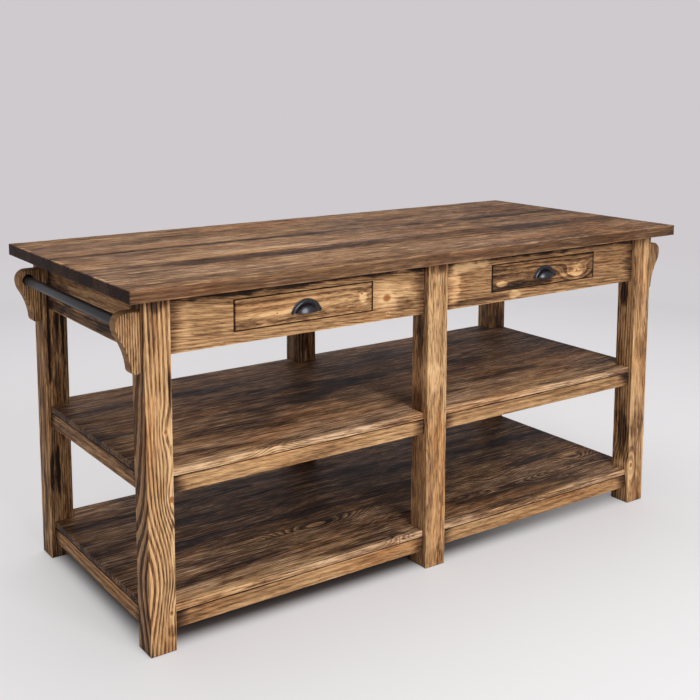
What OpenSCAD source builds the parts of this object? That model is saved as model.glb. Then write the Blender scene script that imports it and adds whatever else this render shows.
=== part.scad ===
// Kitchen island: a glued worktop on six square legs, with two drawers, two open shelves
// and a towel bar between scrolled brackets at each end. Sizes are in millimetres.
// X runs along the worktop, the drawers face -Y, and the origin is on the floor under the middle.

/* [Worktop] */
// Length of the worktop
top_l = 1850; // [1650:10:2300]
// Width of the worktop from front to back
top_w = 820; // [780:10:1000]
// Thickness of the worktop
top_t = 32; // [24:1:45]
// Height of the worktop's upper face
top_z = 904; // [850:1:950]
// Overhang of the worktop past the end legs
end_overhang = 52; // [20:1:80]
// Overhang of the worktop past the front and back legs
side_overhang = 45; // [30:1:70]

/* [Legs and aprons] */
// Width of a square leg
leg_w = 70; // [60:1:90]
// Height of the aprons
apron_h = 143; // [135:1:170]
// Thickness of the aprons
apron_t = 26; // [24:1:32]
// How far the aprons lie behind the faces of the legs
apron_setback = 16; // [4:1:18]
// Worn bevel along the edges of legs and worktop
edge_ease = 2; // [1:0.5:4]

/* [Joints between the timbers] */
// Thickness of the tenons
tenon_t = 10; // [6:1:12]
// Length of the tenons
tenon_l = 20; // [12:1:24]
// Shoulder above and below an apron's tenon
apron_shoulder = 20; // [8:1:30]
// Shoulder above and below a rail's tenon
rail_shoulder = 7; // [4:1:10]
// Gap left for the glue round tenons and dowels
glue_gap = 0.1; // [0.05:0.05:0.3]

/* [Shelves] */
// Height of the middle shelf's upper face
middle_shelf_z = 451; // [400:1:500]
// Height of the lower shelf's upper face
lower_shelf_z = 111; // [90:1:160]
// Thickness of a shelf panel
shelf_t = 19; // [16:1:28]
// Height of the rails under a shelf
rail_h = 41; // [30:1:50]
// Thickness of the rails under a shelf
rail_t = 28; // [20:1:32]
// How far the shelf edges lie behind the faces of the legs
shelf_setback = 12; // [4:1:18]
// Gap between a shelf's notches and the legs
notch_gap = 0.5; // [0.3:0.1:1]

/* [Drawers] */
// Width of a drawer front
drawer_w = 414; // [320:1:520]
// Height of a drawer front
drawer_h = 75; // [70:1:80]
// Thickness of a drawer front
drawer_front_t = 22; // [18:1:24]
// Gap all round a drawer front
drawer_gap = 2.5; // [1.5:0.5:4]
// Apron left below the drawer opening
apron_below = 30; // [22:1:34]
// Length of a drawer from front to back
drawer_l = 450; // [380:10:470]
// Length of the drawer that stays in the frame when it is fully open
drawer_held = 70; // [66:1:120]
// Thickness of the drawer's sides and back
drawer_side_t = 14; // [12:1:18]
// Height of the drawer's sides
drawer_side_h = 64.5; // [58:0.5:66]
// How much narrower the drawer box is than its front
box_inset = 5; // [2:1:8]
// Thickness of the drawer's bottom
bottom_t = 6; // [4:0.5:8]
// Height of the bottom above the lower edge of the sides
bottom_lift = 6.5; // [5:0.5:9]
// Depth of the groove that holds the bottom
groove_d = 5; // [3:0.5:7]

/* [Drawer runners] */
// Gap between a drawer and the wood it slides on
running_gap = 0.3; // [0.2:0.1:0.6]
// Gap between a drawer's side and its guide
guide_gap = 1; // [0.5:0.5:2]
// Width of the runner's guide
guide_t = 20; // [12:1:26]
// Height of the runner's guide
guide_h = 60; // [40:1:66]
// Height of the ledge under a drawer's side
ledge_h = 20; // [12:1:24]
// Width of the kicker above a drawer
kicker_w = 40; // [30:1:60]
// Gap between the kicker and the drawer's back
kicker_gap = 2; // [1:0.5:4]
// Width of a stop block
stop_w = 15; // [10:1:20]
// Length of a stop block
stop_l = 20; // [10:1:22]
// Height of a stop block
stop_h = 10; // [6:1:12]
// Gap between a stop block and what it stops
stop_gap = 0.5; // [0.3:0.1:1]

/* [Cup pulls] */
// Width of a cup pull over its flange
pull_w = 92; // [80:1:110]
// Height of a cup pull over its flange
pull_h = 38; // [34:1:42]
// How far the cup stands out from the drawer
pull_depth = 22; // [18:1:28]
// Height of the cup's lip over the ends of its flange
pull_lip = 4; // [2:0.5:6]
// Width of the flange round the cup
flange_w = 10; // [7:0.5:12]
// Thickness of the flange
flange_t = 2; // [1.5:0.5:3]
// Thickness of the cup's wall
cup_wall = 1.8; // [1.2:0.1:2.5]
// Distance between the two screws of a pull
pull_screw_pitch = 44; // [40:1:50]
// Diameter of the pull's screws
pull_screw_d = 4; // [3:0.5:4]
// Depth of the threaded hole in a pull's boss
boss_hole = 6; // [4:0.5:7]

/* [Brackets and towel bars] */
// How far a bracket stands out from its leg
bracket_out = 60; // [56:1:75]
// Height of a bracket
bracket_h = 149; // [140:1:190]
// Thickness of a bracket
bracket_t = 36; // [30:1:44]
// Gap between the worktop and the top of a bracket
bracket_drop = 31; // [20:1:45]
// Radius of the bracket's round head
head_r = 28; // [26:1:32]
// Radius of the belly below the head
belly_r = 60; // [50:1:70]
// Radius of the hollow waist
waist_r = 170; // [150:1:200]
// Radius of the round tip
tip_r = 14; // [10:0.5:16]
// Diameter of the towel bar
bar_d = 26; // [18:1:28]
// Wall of the towel bar's tube
bar_wall = 2; // [1:0.5:3]
// Diameter of the sockets that the towel bar lies in
socket_d = 32; // [30:1:34]
// Depth of the sockets
socket_depth = 24; // [16:1:28]
// Gap at each end of the towel bar
bar_end_gap = 2; // [1:0.5:4]
// Diameter of the dowels behind the brackets
dowel_d = 8; // [6:1:10]
// Length of the dowels
dowel_l = 40; // [28:1:42]

/* [Worktop screws] */
// Diameter of the screws that hold the worktop
top_screw_d = 5; // [4:0.5:6]
// How far the screws reach into the worktop
top_screw_bite = 20; // [12:1:22]
// Distance between the screws along a kicker
top_screw_pitch = 220; // [150:5:240]

/* [Hidden] */
$fn = 64;

// Words and signs for what stands left and right, in front and behind
SIDES = [["left", -1], ["right", 1]];
COLUMNS = [["left", -1], ["middle", 0], ["right", 1]];
ROWS = [["front", -1], ["back", 1]];
SHELVES = [["middle_shelf", middle_shelf_z], ["lower_shelf", lower_shelf_z]];

// Colours of the stained wood and the metal
gold_wood = [0.72, 0.52, 0.31];
brown_wood = [0.50, 0.37, 0.26];
dark_wood = [0.33, 0.26, 0.20];
pale_wood = [0.80, 0.68, 0.50];
gunmetal = [0.17, 0.18, 0.20];
steel = [0.62, 0.63, 0.65];

// Frame of the legs
frame_l = top_l - 2 * end_overhang;
frame_w = top_w - 2 * side_overhang;
leg_h = top_z - top_t;
leg_x = (frame_l - leg_w) / 2;
leg_y = (frame_w - leg_w) / 2;
bay_w = (frame_l - 3 * leg_w) / 2;
bay_x = (leg_w + bay_w) / 2;
span_y = frame_w - 2 * leg_w;

// Places of aprons and rails, measured from the middle of the leg that holds them
apron_off = leg_w / 2 - apron_setback - apron_t / 2;
rail_off = leg_w / 2 - shelf_setback - rail_t / 2;
apron_z = leg_h - apron_h;
apron_face = frame_w / 2 - apron_setback;
apron_inner = apron_face - apron_t;

// Drawer box and its opening
opening_w = drawer_w + 2 * drawer_gap;
opening_h = drawer_h + 2 * drawer_gap;
drawer_z = apron_z + apron_below + drawer_gap;
box_w = drawer_w - box_inset;
box_front = -apron_face + drawer_front_t;
box_back = -apron_face + drawer_l;
panel_z = drawer_z + bottom_lift;
box_top = drawer_z + drawer_side_h;
drawer_travel = drawer_l - drawer_held;

// Runners and kickers lie between the front and the back aprons
ledge_z = drawer_z - running_gap;
kicker_z = box_top + kicker_gap;
kicker_h = leg_h - kicker_z;
head_d = 2 * top_screw_d;
head_h = 0.7 * top_screw_d;
head_room = 0.5;
top_screw_l = kicker_h - head_h + top_screw_bite;

// Cup pull: a shallow dome in a round flange, both about an axis below the drawer's middle
ear_r = flange_w / 2;
arch_h = pull_h - ear_r;
flange_r = (pull_w * pull_w / 4 + arch_h * arch_h) / (2 * arch_h);
pull_axis = pull_h - flange_r;
dome_r = flange_r - flange_w;
pull_z = drawer_z + (drawer_h - pull_h) / 2;
boss_up = 10;
boss_d = pull_screw_d + 4;
boss_h = boss_hole + 2;
pull_head_d = 2 * pull_screw_d;
pull_head_h = 0.6 * pull_screw_d;
screw_slack = 0.25;

// Bracket and towel bar
bracket_z = leg_h - bracket_drop;
bracket_inner = leg_y - bracket_t / 2;
socket_x = frame_l / 2 + bracket_out - head_r;
socket_z = bracket_z - head_r;
bar_z = socket_z - (socket_d - bar_d) / 2 + running_gap;
bar_l = 2 * (bracket_inner + socket_depth - bar_end_gap);
upper_dowel = 0.43 * bracket_h;
lower_dowel = 0.82 * bracket_h;

// Points along an arc, from one angle to another
function arc(centre, r, from, to, steps = 12) =
    [for (i = [0:steps]) let (a = from + (to - from) * i / steps) centre + r * [cos(a), sin(a)]];

// Box centred in X and Y that stands on z = 0
module block(size) {
    translate([-size.x / 2, -size.y / 2, 0]) cube(size);
}

// Turns what is drawn on +X and +Y to the side and row asked for
module turned(side, row = 1) {
    mirror([side < 0 ? 1 : 0, 0, 0]) mirror([0, row < 0 ? 1 : 0, 0]) children();
}

// Rectangle about the origin with bevelled corners
module bevelled(w, h) {
    a = w / 2;
    b = h / 2;
    e = edge_ease;
    corner = [[a - e, b], [a, b - e]];
    opposite = [[e - a, -b], [-a, e - b]];
    polygon(concat([[e - a, b]], corner, [[a, e - b], [a - e, -b]], opposite, [[-a, b - e]]));
}

// Board along X with a tenon at each end
module tenoned_board(length, thickness, height, shoulder) {
    block([length, thickness, height]);
    translate([0, 0, shoulder]) block([length + 2 * tenon_l, tenon_t, height - 2 * shoulder]);
}

// Pocket for one tenon, cut from the face at x = leg_w / 2 inwards
module mortise(height, shoulder) {
    depth = tenon_l + 1;
    wide = tenon_t + 2 * glue_gap;
    translate([leg_w / 2 - depth, -wide / 2, shoulder - glue_gap])
        cube([depth + 1, wide, height - 2 * shoulder + 2 * glue_gap]);
}

// Mortises in one face of a leg for its apron and for a rail of each shelf
module mortise_column(apron_place, rail_place) {
    translate([0, apron_place, apron_z]) mortise(apron_h, apron_shoulder);
    for (shelf = SHELVES)
        translate([0, rail_place, shelf[1] - shelf_t - rail_h]) mortise(rail_h, rail_shoulder);
}

// Dowel holes or dowels behind a bracket, on an axis along X through the leg's outer face
module bracket_dowel_set(d, l) {
    for (drop = [upper_dowel, lower_dowel])
        translate([frame_l / 2 - l / 2, 0, bracket_z - drop]) rotate([0, 90, 0]) cylinder(d = d, h = l);
}

module leg(column, row) {
    color(gold_wood)
    difference() {
        translate([column * leg_x, row * leg_y, 0]) linear_extrude(leg_h) bevelled(leg_w, leg_w);
        translate([column * leg_x, row * leg_y, 0]) {
            for (side = [-1, 1])
                if (side != column)
                    turned(side) mortise_column(row * apron_off, row * rail_off);
            rotate([0, 0, -row * 90])
                mortise_column(row * column * apron_off, row * column * rail_off);
        }
        if (column != 0)
            turned(column) translate([0, row * leg_y, 0])
                bracket_dowel_set(dowel_d + 2 * glue_gap, dowel_l + 1);
    }
}

module worktop() {
    color(brown_wood)
    difference() {
        translate([0, 0, leg_h + top_t / 2]) intersection() {
            linear_extrude(top_t, center = true) bevelled(top_l, top_w);
            rotate([90, 0, 90]) linear_extrude(top_l, center = true) bevelled(top_w, top_t);
            rotate([90, 0, 0]) linear_extrude(top_w, center = true) bevelled(top_l, top_t);
        }
        for (side = [-1, 1])
            translate([side * bay_x, 0, kicker_z + head_h]) top_screw_row(glue_gap, 1);
    }
}

// Front apron: one board with an opening for its drawer
module front_apron(side) {
    color(gold_wood)
    difference() {
        translate([side * bay_x, -leg_y - apron_off, apron_z])
            tenoned_board(bay_w, apron_t, apron_h, apron_shoulder);
        translate([side * bay_x, -apron_face + apron_t / 2, drawer_z - drawer_gap])
            block([opening_w, apron_t + 2, opening_h]);
    }
}

module back_apron(side) {
    color(gold_wood)
    translate([side * bay_x, leg_y + apron_off, apron_z])
        tenoned_board(bay_w, apron_t, apron_h, apron_shoulder);
}

// Apron from front to back: at an end of the island, or across its middle
module short_apron(column) {
    color(gold_wood)
    translate([column * (leg_x + apron_off), 0, apron_z]) rotate([0, 0, 90])
        tenoned_board(span_y, apron_t, apron_h, apron_shoulder);
}

module long_rail(side, row, shelf_z) {
    color(gold_wood)
    translate([side * bay_x, row * (leg_y + rail_off), shelf_z - shelf_t - rail_h])
        tenoned_board(bay_w, rail_t, rail_h, rail_shoulder);
}

module short_rail(column, shelf_z) {
    color(brown_wood)
    translate([column * (leg_x + rail_off), 0, shelf_z - shelf_t - rail_h]) rotate([0, 0, 90])
        tenoned_board(span_y, rail_t, rail_h, rail_shoulder);
}

// Shelf: a glued panel on its rails, notched round the legs
module shelf(shelf_z) {
    notch = leg_w + 2 * notch_gap;
    color(dark_wood)
    difference() {
        translate([0, 0, shelf_z - shelf_t])
            block([frame_l - 2 * shelf_setback, frame_w - 2 * shelf_setback, shelf_t]);
        for (column = COLUMNS, row = ROWS)
            translate([column[1] * leg_x, row[1] * leg_y, shelf_z - shelf_t - 1])
                block([notch, notch, shelf_t + 2]);
    }
}

// Outline of a bracket, out from the leg along X and down from its top along -Y:
// a round head, a belly and a tip, with a hollow waist that touches belly and tip
module bracket_outline() {
    head = [bracket_out - head_r, -head_r];
    belly = [bracket_out - belly_r, -head_r];
    tip = [0.75 * tip_r, tip_r - bracket_h];
    reach = norm(tip - belly);
    along = (tip - belly) / reach;
    from_belly = belly_r + waist_r;
    from_tip = tip_r + waist_r;
    foot = (from_belly * from_belly - from_tip * from_tip + reach * reach) / (2 * reach);
    waist = belly + foot * along + sqrt(from_belly * from_belly - foot * foot) * [-along.y, along.x];
    belly_turn = atan2(waist.y - belly.y, waist.x - belly.x);
    tip_turn = atan2(waist.y - tip.y, waist.x - tip.x);
    heel_turn = acos(-tip.x / tip_r);
    polygon(concat(
        [[0, 0]],
        arc(head, head_r, 90, 0),
        arc(belly, belly_r, 0, belly_turn, 8),
        arc(waist, waist_r, 180 + belly_turn, 180 + tip_turn, 8),
        arc(tip, tip_r, tip_turn, -heel_turn)
    ));
}

// Bracket on the outer face of an end leg, with a blind socket towards the middle
module bracket(side, row) {
    color(gold_wood)
    turned(side, row)
    difference() {
        translate([frame_l / 2, leg_y + bracket_t / 2, bracket_z])
            rotate([90, 0, 0]) linear_extrude(bracket_t) bracket_outline();
        translate([socket_x, bracket_inner + socket_depth, socket_z])
            rotate([90, 0, 0]) cylinder(d = socket_d, h = socket_depth + 1);
        translate([0, leg_y, 0]) bracket_dowel_set(dowel_d + 2 * glue_gap, dowel_l + 1);
    }
}

module bracket_dowels() {
    color(pale_wood)
    for (side = [-1, 1], row = [-1, 1])
        turned(side) translate([0, row * leg_y, 0]) bracket_dowel_set(dowel_d, dowel_l);
}

// Towel bar: a steel tube that lies loose in the sockets and can be turned
module towel_bar(side) {
    color(gunmetal)
    translate([side * socket_x, bar_l / 2, bar_z]) rotate([90, 0, 0])
    difference() {
        cylinder(d = bar_d, h = bar_l);
        translate([0, 0, -1]) cylinder(d = bar_d - 2 * bar_wall, h = bar_l + 2);
    }
}

// Places of the two pull screws on a drawer front
module at_pull_screws(side) {
    for (screw = [-1, 1])
        translate([side * bay_x + screw * pull_screw_pitch / 2, box_front, pull_z + boss_up])
            rotate([90, 0, 0]) children();
}

module drawer_front(side) {
    color(gold_wood)
    difference() {
        translate([side * bay_x, (-apron_face + box_front) / 2, drawer_z])
            block([drawer_w, drawer_front_t, drawer_h]);
        translate([side * bay_x, box_front, panel_z])
            block([box_w - 2 * drawer_side_t + 2 * groove_d, 2 * groove_d, bottom_t]);
        at_pull_screws(side)
            translate([0, 0, -1]) cylinder(d = pull_screw_d + 2 * screw_slack, h = drawer_front_t + 2);
    }
}

// Side of a drawer: hand is -1 for its left side and 1 for its right
module drawer_side(side, hand) {
    length = box_back - box_front;
    inner = hand * (box_w / 2 - drawer_side_t);
    color(pale_wood)
    translate([side * bay_x, (box_front + box_back) / 2, 0])
    difference() {
        translate([hand * (box_w - drawer_side_t) / 2, 0, drawer_z])
            block([drawer_side_t, length, drawer_side_h]);
        translate([inner, 0, panel_z]) block([2 * groove_d, length + 2, bottom_t]);
    }
}

module drawer_back(side) {
    high = box_top - panel_z - bottom_t;
    color(pale_wood)
    translate([side * bay_x, box_back - drawer_side_t / 2, panel_z + bottom_t])
        block([box_w - 2 * drawer_side_t, drawer_side_t, high]);
}

// Bottom of a drawer: it slides along the grooves from behind, under the back
module drawer_bottom(side) {
    wide = box_w - 2 * drawer_side_t + 2 * (groove_d - glue_gap);
    front = box_front - groove_d + glue_gap;
    color(pale_wood)
    translate([side * bay_x, (front + box_back) / 2, panel_z])
        block([wide, box_back - front, bottom_t]);
}

// Solid dome about the pull's axis, above a level cut: shrink leaves room for the wall
module dome(cut, shrink) {
    r = dome_r - shrink;
    depth = pull_depth - shrink;
    quarter = [for (a = [90:-6:0]) [r * cos(a), depth * sin(a)]];
    intersection() {
        translate([0, pull_axis, 0]) rotate_extrude() polygon(concat([[0, 0]], quarter));
        translate([-pull_w, cut, -1]) cube([2 * pull_w, 2 * pull_h, 2 * pull_depth]);
    }
}

// Flange round the cup: a half-round band whose ends are rounded into ears
module flange() {
    linear_extrude(flange_t) {
        difference() {
            translate([0, pull_axis]) circle(flange_r);
            translate([0, pull_axis]) circle(dome_r - cup_wall);
            translate([-pull_w, ear_r - 2 * pull_w]) square(2 * pull_w);
        }
        for (ear = [-1, 1])
            translate([ear * (pull_w / 2 - ear_r), ear_r]) circle(ear_r);
    }
}

// Cup pull: dome and flange, with two bosses inside the cup for the screws
module pull(side) {
    color(gunmetal)
    translate([side * bay_x, -apron_face, pull_z]) rotate([90, 0, 0])
    difference() {
        union() {
            flange();
            difference() {
                dome(pull_lip, 0);
                dome(pull_lip - 1, cup_wall);
            }
            intersection() {
                dome(pull_lip, 0);
                for (screw = [-1, 1])
                    translate([screw * pull_screw_pitch / 2, boss_up, 0]) cylinder(d = boss_d, h = boss_h);
            }
        }
        for (screw = [-1, 1])
            translate([screw * pull_screw_pitch / 2, boss_up, -1])
                cylinder(d = pull_screw_d, h = boss_hole + 1);
    }
}

module pull_screws(side) {
    color(steel)
    at_pull_screws(side) {
        translate([0, 0, -pull_head_h]) cylinder(d = pull_head_d, h = pull_head_h);
        cylinder(d = pull_screw_d - 2 * glue_gap, h = drawer_front_t + boss_hole - 1);
    }
}

// Runner of a drawer: a ledge under the side and a guide beside it, worked from one batten
module runner(side, hand) {
    length = 2 * apron_inner;
    guide_x = box_w / 2 + guide_gap;
    ledge_w = drawer_side_t + guide_gap;
    color(pale_wood)
    translate([side * bay_x, 0, ledge_z - ledge_h]) {
        translate([hand * (guide_x - ledge_w / 2), 0, 0]) block([ledge_w, length, ledge_h]);
        translate([hand * (guide_x + guide_t / 2), 0, 0]) block([guide_t, length, guide_h]);
    }
}

// Row of screws along a kicker, or the holes for them: spare widens and deepens a hole
module top_screw_row(spare_r, spare_l) {
    for (place = [-1:1])
        translate([0, place * top_screw_pitch, 0])
            cylinder(d = top_screw_d + 2 * spare_r, h = top_screw_l + spare_l);
}

// Kicker: holds the worktop down and keeps an open drawer from tipping
module kicker(side) {
    color(pale_wood)
    difference() {
        translate([side * bay_x, 0, kicker_z]) block([kicker_w, 2 * apron_inner, kicker_h]);
        translate([side * bay_x, 0, kicker_z + head_h]) top_screw_row(glue_gap, 0);
        for (place = [-1:1])
            translate([side * bay_x, place * top_screw_pitch, kicker_z - 1])
                cylinder(d = head_d + 2 * head_room, h = head_h + 1);
    }
}

module worktop_screws() {
    color(steel)
    for (side = [-1, 1])
        translate([side * bay_x, 0, kicker_z + head_h]) {
            top_screw_row(0, 0);
            for (place = [-1:1])
                translate([0, place * top_screw_pitch, -head_h]) cylinder(d = head_d, h = head_h);
        }
}

// Stop blocks: one under each kicker for the open drawer, and one on each ledge for the closed one
module stop_blocks() {
    stop_size = [stop_w, stop_l, stop_h];
    caught_y = box_back - drawer_side_t - drawer_travel - stop_gap;
    shut_x = box_w / 2 + guide_gap - stop_w / 2;
    shut_y = box_back + stop_gap;
    color(pale_wood)
    for (side = [-1, 1]) {
        translate([side * bay_x, caught_y - stop_l / 2, kicker_z - stop_h]) block(stop_size);
        for (hand = [-1, 1])
            translate([side * bay_x + hand * shut_x, shut_y + stop_l / 2, ledge_z]) block(stop_size);
    }
}

worktop();
for (column = COLUMNS, row = ROWS)
    leg(column[1], row[1]);
for (side = SIDES)
    front_apron(side[1]);
for (side = SIDES)
    back_apron(side[1]);
for (side = SIDES)
    short_apron(side[1]);
short_apron(0);  // cross_apron
for (s = SHELVES)
    shelf(s[1]);
for (s = SHELVES, row = ROWS, side = SIDES)
    long_rail(side[1], row[1], s[1]);
for (s = SHELVES, side = SIDES)
    short_rail(side[1], s[1]);
for (s = SHELVES)
    short_rail(0, s[1]);
for (side = SIDES, row = ROWS)
    bracket(side[1], row[1]);
bracket_dowels();
for (side = SIDES)
    towel_bar(side[1]);
for (side = SIDES)
    drawer_front(side[1]);
for (side = SIDES, hand = SIDES)
    drawer_side(side[1], hand[1]);
for (side = SIDES)
    drawer_back(side[1]);
for (side = SIDES)
    drawer_bottom(side[1]);
for (side = SIDES)
    pull(side[1]);
for (side = SIDES)
    pull_screws(side[1]);
for (side = SIDES, hand = SIDES)
    runner(side[1], hand[1]);
for (side = SIDES)
    kicker(side[1]);
stop_blocks();
worktop_screws();
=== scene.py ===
"""Kitchen island of brushed and stained softwood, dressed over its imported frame.

Every timber that shows is modelled again in the place of its plain solid, with eased and slightly worn
arrises. The grain is solid: growth rings run through each timber round its own heart, so that its faces,
edges and end grain belong together. Sizes are in metres, in the frame of the CAD.
"""
import logging
import math
from contextlib import contextmanager
from dataclasses import dataclass, replace
from enum import Enum
from typing import Callable, Iterator, Sequence, Union

import bmesh
import bpy
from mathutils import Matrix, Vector


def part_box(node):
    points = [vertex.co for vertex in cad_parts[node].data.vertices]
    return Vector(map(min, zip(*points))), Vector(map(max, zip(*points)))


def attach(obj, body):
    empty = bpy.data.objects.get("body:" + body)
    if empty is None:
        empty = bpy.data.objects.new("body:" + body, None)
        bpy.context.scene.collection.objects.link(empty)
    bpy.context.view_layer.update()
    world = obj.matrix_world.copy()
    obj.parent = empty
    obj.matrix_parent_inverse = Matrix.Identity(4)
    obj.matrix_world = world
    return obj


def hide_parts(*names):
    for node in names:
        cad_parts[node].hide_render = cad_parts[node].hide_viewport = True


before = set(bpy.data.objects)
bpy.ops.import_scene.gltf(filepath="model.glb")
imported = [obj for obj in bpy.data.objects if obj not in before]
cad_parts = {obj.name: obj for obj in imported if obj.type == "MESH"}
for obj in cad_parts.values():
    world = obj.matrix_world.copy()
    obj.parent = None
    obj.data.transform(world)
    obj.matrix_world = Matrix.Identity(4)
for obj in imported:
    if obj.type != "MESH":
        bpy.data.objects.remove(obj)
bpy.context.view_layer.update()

LOG = logging.getLogger("island")
Colour = tuple[float, float, float]
Point = tuple[float, float, float]
Box = tuple[Vector, Vector]
Section = Sequence[tuple[float, float]]

# Words that the nodes' names are made of, and the distance under which two places count as one
ROWS = ("front", "back")
COLUMNS = ("left", "middle", "right")
HANDS = ("left", "right")
NEAR = 1e-5


class Run(Enum):
    """Which way a timber lies: the axes along the grain, across it, and through its depth."""

    POST = (2, 0, 1)
    LONG_BOARD = (0, 2, 1)
    SHORT_BOARD = (1, 2, 0)
    PANEL = (0, 1, 2)


class Side(Enum):
    """Left and right halves of the island, with the sign of X."""

    LEFT = -1
    RIGHT = 1


class Row(Enum):
    """Back and front rows of the brackets, with the sign of Y."""

    BACK = 1
    FRONT = -1


class Part(Enum):
    """Parts of a mesh that a modelling step works on."""

    EDGE = "EDGE"
    FACE = "FACE"


class Join(Enum):
    """What a tool does to a piece."""

    CUT = "DIFFERENCE"
    ADD = "UNION"


# Shader graphs


class Sock:
    """An output of a shader node, used as a term of an expression."""

    def __init__(self, graph: "Graph", socket: bpy.types.NodeSocket) -> None:
        """Keeps the graph and the socket."""
        self.graph = graph
        self.socket = socket

    def __add__(self, other: "Term") -> "Sock":
        """Sum."""
        return self.graph.math("ADD", self, other)

    __radd__ = __add__

    def __sub__(self, other: "Term") -> "Sock":
        """Difference."""
        return self.graph.math("SUBTRACT", self, other)

    def __rsub__(self, other: "Term") -> "Sock":
        """Difference from a number."""
        return self.graph.math("SUBTRACT", other, self)

    def __mul__(self, other: "Term") -> "Sock":
        """Product."""
        return self.graph.math("MULTIPLY", self, other)

    __rmul__ = __mul__

    def __truediv__(self, other: "Term") -> "Sock":
        """Quotient."""
        return self.graph.math("DIVIDE", self, other)

    def __abs__(self) -> "Sock":
        """Distance from nought."""
        return self.graph.math("ABSOLUTE", self)


Term = Union[Sock, float]
Paint = Union[Sock, Colour]


class Graph:
    """The node graph of a material or of the world."""

    def __init__(self, owner: Union[bpy.types.Material, bpy.types.World]) -> None:
        """Starts an empty graph.

        Args:
            owner: the material or world that the graph belongs to.
        """
        self.owner = owner
        owner.use_nodes = True
        self.tree = owner.node_tree
        self.tree.nodes.clear()

    def node(self, kind: str, settings: dict, inputs: dict) -> bpy.types.ShaderNode:
        """Adds any node.

        Args:
            kind: the node's type.
            settings: its properties; stops is a list of (place, colour) of a colour ramp.
            inputs: values or sockets by the name or number of the input.

        Returns:
            The new node.
        """
        made = self.tree.nodes.new(kind)
        for key, value in settings.items():
            if key != "stops":
                setattr(made, key, value)
        if "stops" in settings:
            self._set_stops(made.color_ramp, settings["stops"])
        for key, value in inputs.items():
            if isinstance(value, Sock):
                self.tree.links.new(value.socket, made.inputs[key])
            else:
                made.inputs[key].default_value = value
        return made

    @staticmethod
    def _set_stops(ramp: bpy.types.ColorRamp, stops: Sequence[tuple[float, Colour]]) -> None:
        """Gives a colour ramp its stops.

        Args:
            ramp: the colour ramp.
            stops: places from 0 to 1, with their colours.
        """
        while len(ramp.elements) < len(stops):
            ramp.elements.new(1.0)
        for element, (place, colour) in zip(ramp.elements, stops):
            element.position = place
            element.color = (*colour, 1.0)

    def out(self, made: bpy.types.ShaderNode, key: Union[str, int] = 0) -> Sock:
        """The output of a node as a term."""
        return Sock(self, made.outputs[key])

    def math(self, operation: str, *terms: Term) -> Sock:
        """A Math node over the terms."""
        return self.out(self.node("ShaderNodeMath", {"operation": operation}, dict(enumerate(terms))))

    def smooth(self, value: Sock, low: float, high: float) -> Sock:
        """A smooth step, rising or falling.

        Args:
            value: what is read.
            low: where the step is 0.
            high: where it is 1; it may lie below low.

        Returns:
            The step.
        """
        made = self.node("ShaderNodeMapRange", {"interpolation_type": "SMOOTHSTEP"},
                         {"Value": value, "From Min": low, "From Max": high})
        return self.out(made)

    def ramp(self, value: Sock, stops: Sequence[tuple[float, Colour]], steps: bool = False) -> Sock:
        """Reads a colour ramp.

        Args:
            value: where it is read.
            stops: places from 0 to 1, with their colours.
            steps: holds each colour up to the next stop.

        Returns:
            The colour.
        """
        made = self.node("ShaderNodeValToRGB", {"stops": stops}, {"Fac": value})
        made.color_ramp.interpolation = "CONSTANT" if steps else "LINEAR"
        return self.out(made)

    def mix(self, factor: Term, first: Paint, second: Paint, blend: str = "MIX") -> Sock:
        """Mixes two colours.

        Args:
            factor: share of the second.
            first: one colour.
            second: the other.
            blend: how they are mixed.

        Returns:
            The colour.
        """
        first, second = (paint if isinstance(paint, Sock) else (*paint, 1.0) for paint in (first, second))
        made = self.node("ShaderNodeMix", {"data_type": "RGBA", "blend_type": blend},
                         {0: factor, 6: first, 7: second})
        return self.out(made, 2)

    def split(self, vector: Sock) -> list[Sock]:
        """The three parts of a vector."""
        made = self.node("ShaderNodeSeparateXYZ", {}, {0: vector})
        return [self.out(made, i) for i in range(3)]

    def join(self, x: Term, y: Term, z: Term) -> Sock:
        """A vector from three numbers."""
        return self.out(self.node("ShaderNodeCombineXYZ", {}, {0: x, 1: y, 2: z}))

    def place(self) -> Sock:
        """Place of the shaded point in the CAD's frame."""
        return self.out(self.node("ShaderNodeTexCoord", {}, {}), "Object")

    def noise(self, place: Sock, counts: Point, shift: float, detail: float, colour: bool = False) -> Sock:
        """Soft noise about 0.5.

        Args:
            place: where to read it.
            counts: features per metre along each part of place.
            shift: moves the pattern, so that no two pieces are alike.
            detail: octaves.
            colour: gives three separate noises instead of one.

        Returns:
            The noise.
        """
        scaled = self.node("ShaderNodeVectorMath", {"operation": "MULTIPLY_ADD"},
                           {0: place, 1: counts, 2: (shift, 1.7 * shift, 2.3 * shift)})
        made = self.node("ShaderNodeTexNoise", {},
                         {"Vector": self.out(scaled), "Scale": 1.0, "Detail": detail})
        return self.out(made, 1 if colour else 0)

    def bump(self, height: Sock, strength: float, depth: float) -> Sock:
        """A normal bent by a height."""
        made = self.node("ShaderNodeBump", {}, {"Strength": strength, "Distance": depth, "Height": height})
        return self.out(made)

    def seen(self) -> Sock:
        """Tells the picture's rays from the light of the scene.

        Returns:
            1 for rays from the camera, in mirrors and through glass, and 0 for all others.
        """
        path = self.node("ShaderNodeLightPath", {}, {})
        direct = self.math("MAXIMUM", self.out(path, "Is Camera Ray"), self.out(path, "Is Glossy Ray"))
        return self.math("MAXIMUM", direct, self.out(path, "Is Transmission Ray"))

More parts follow.
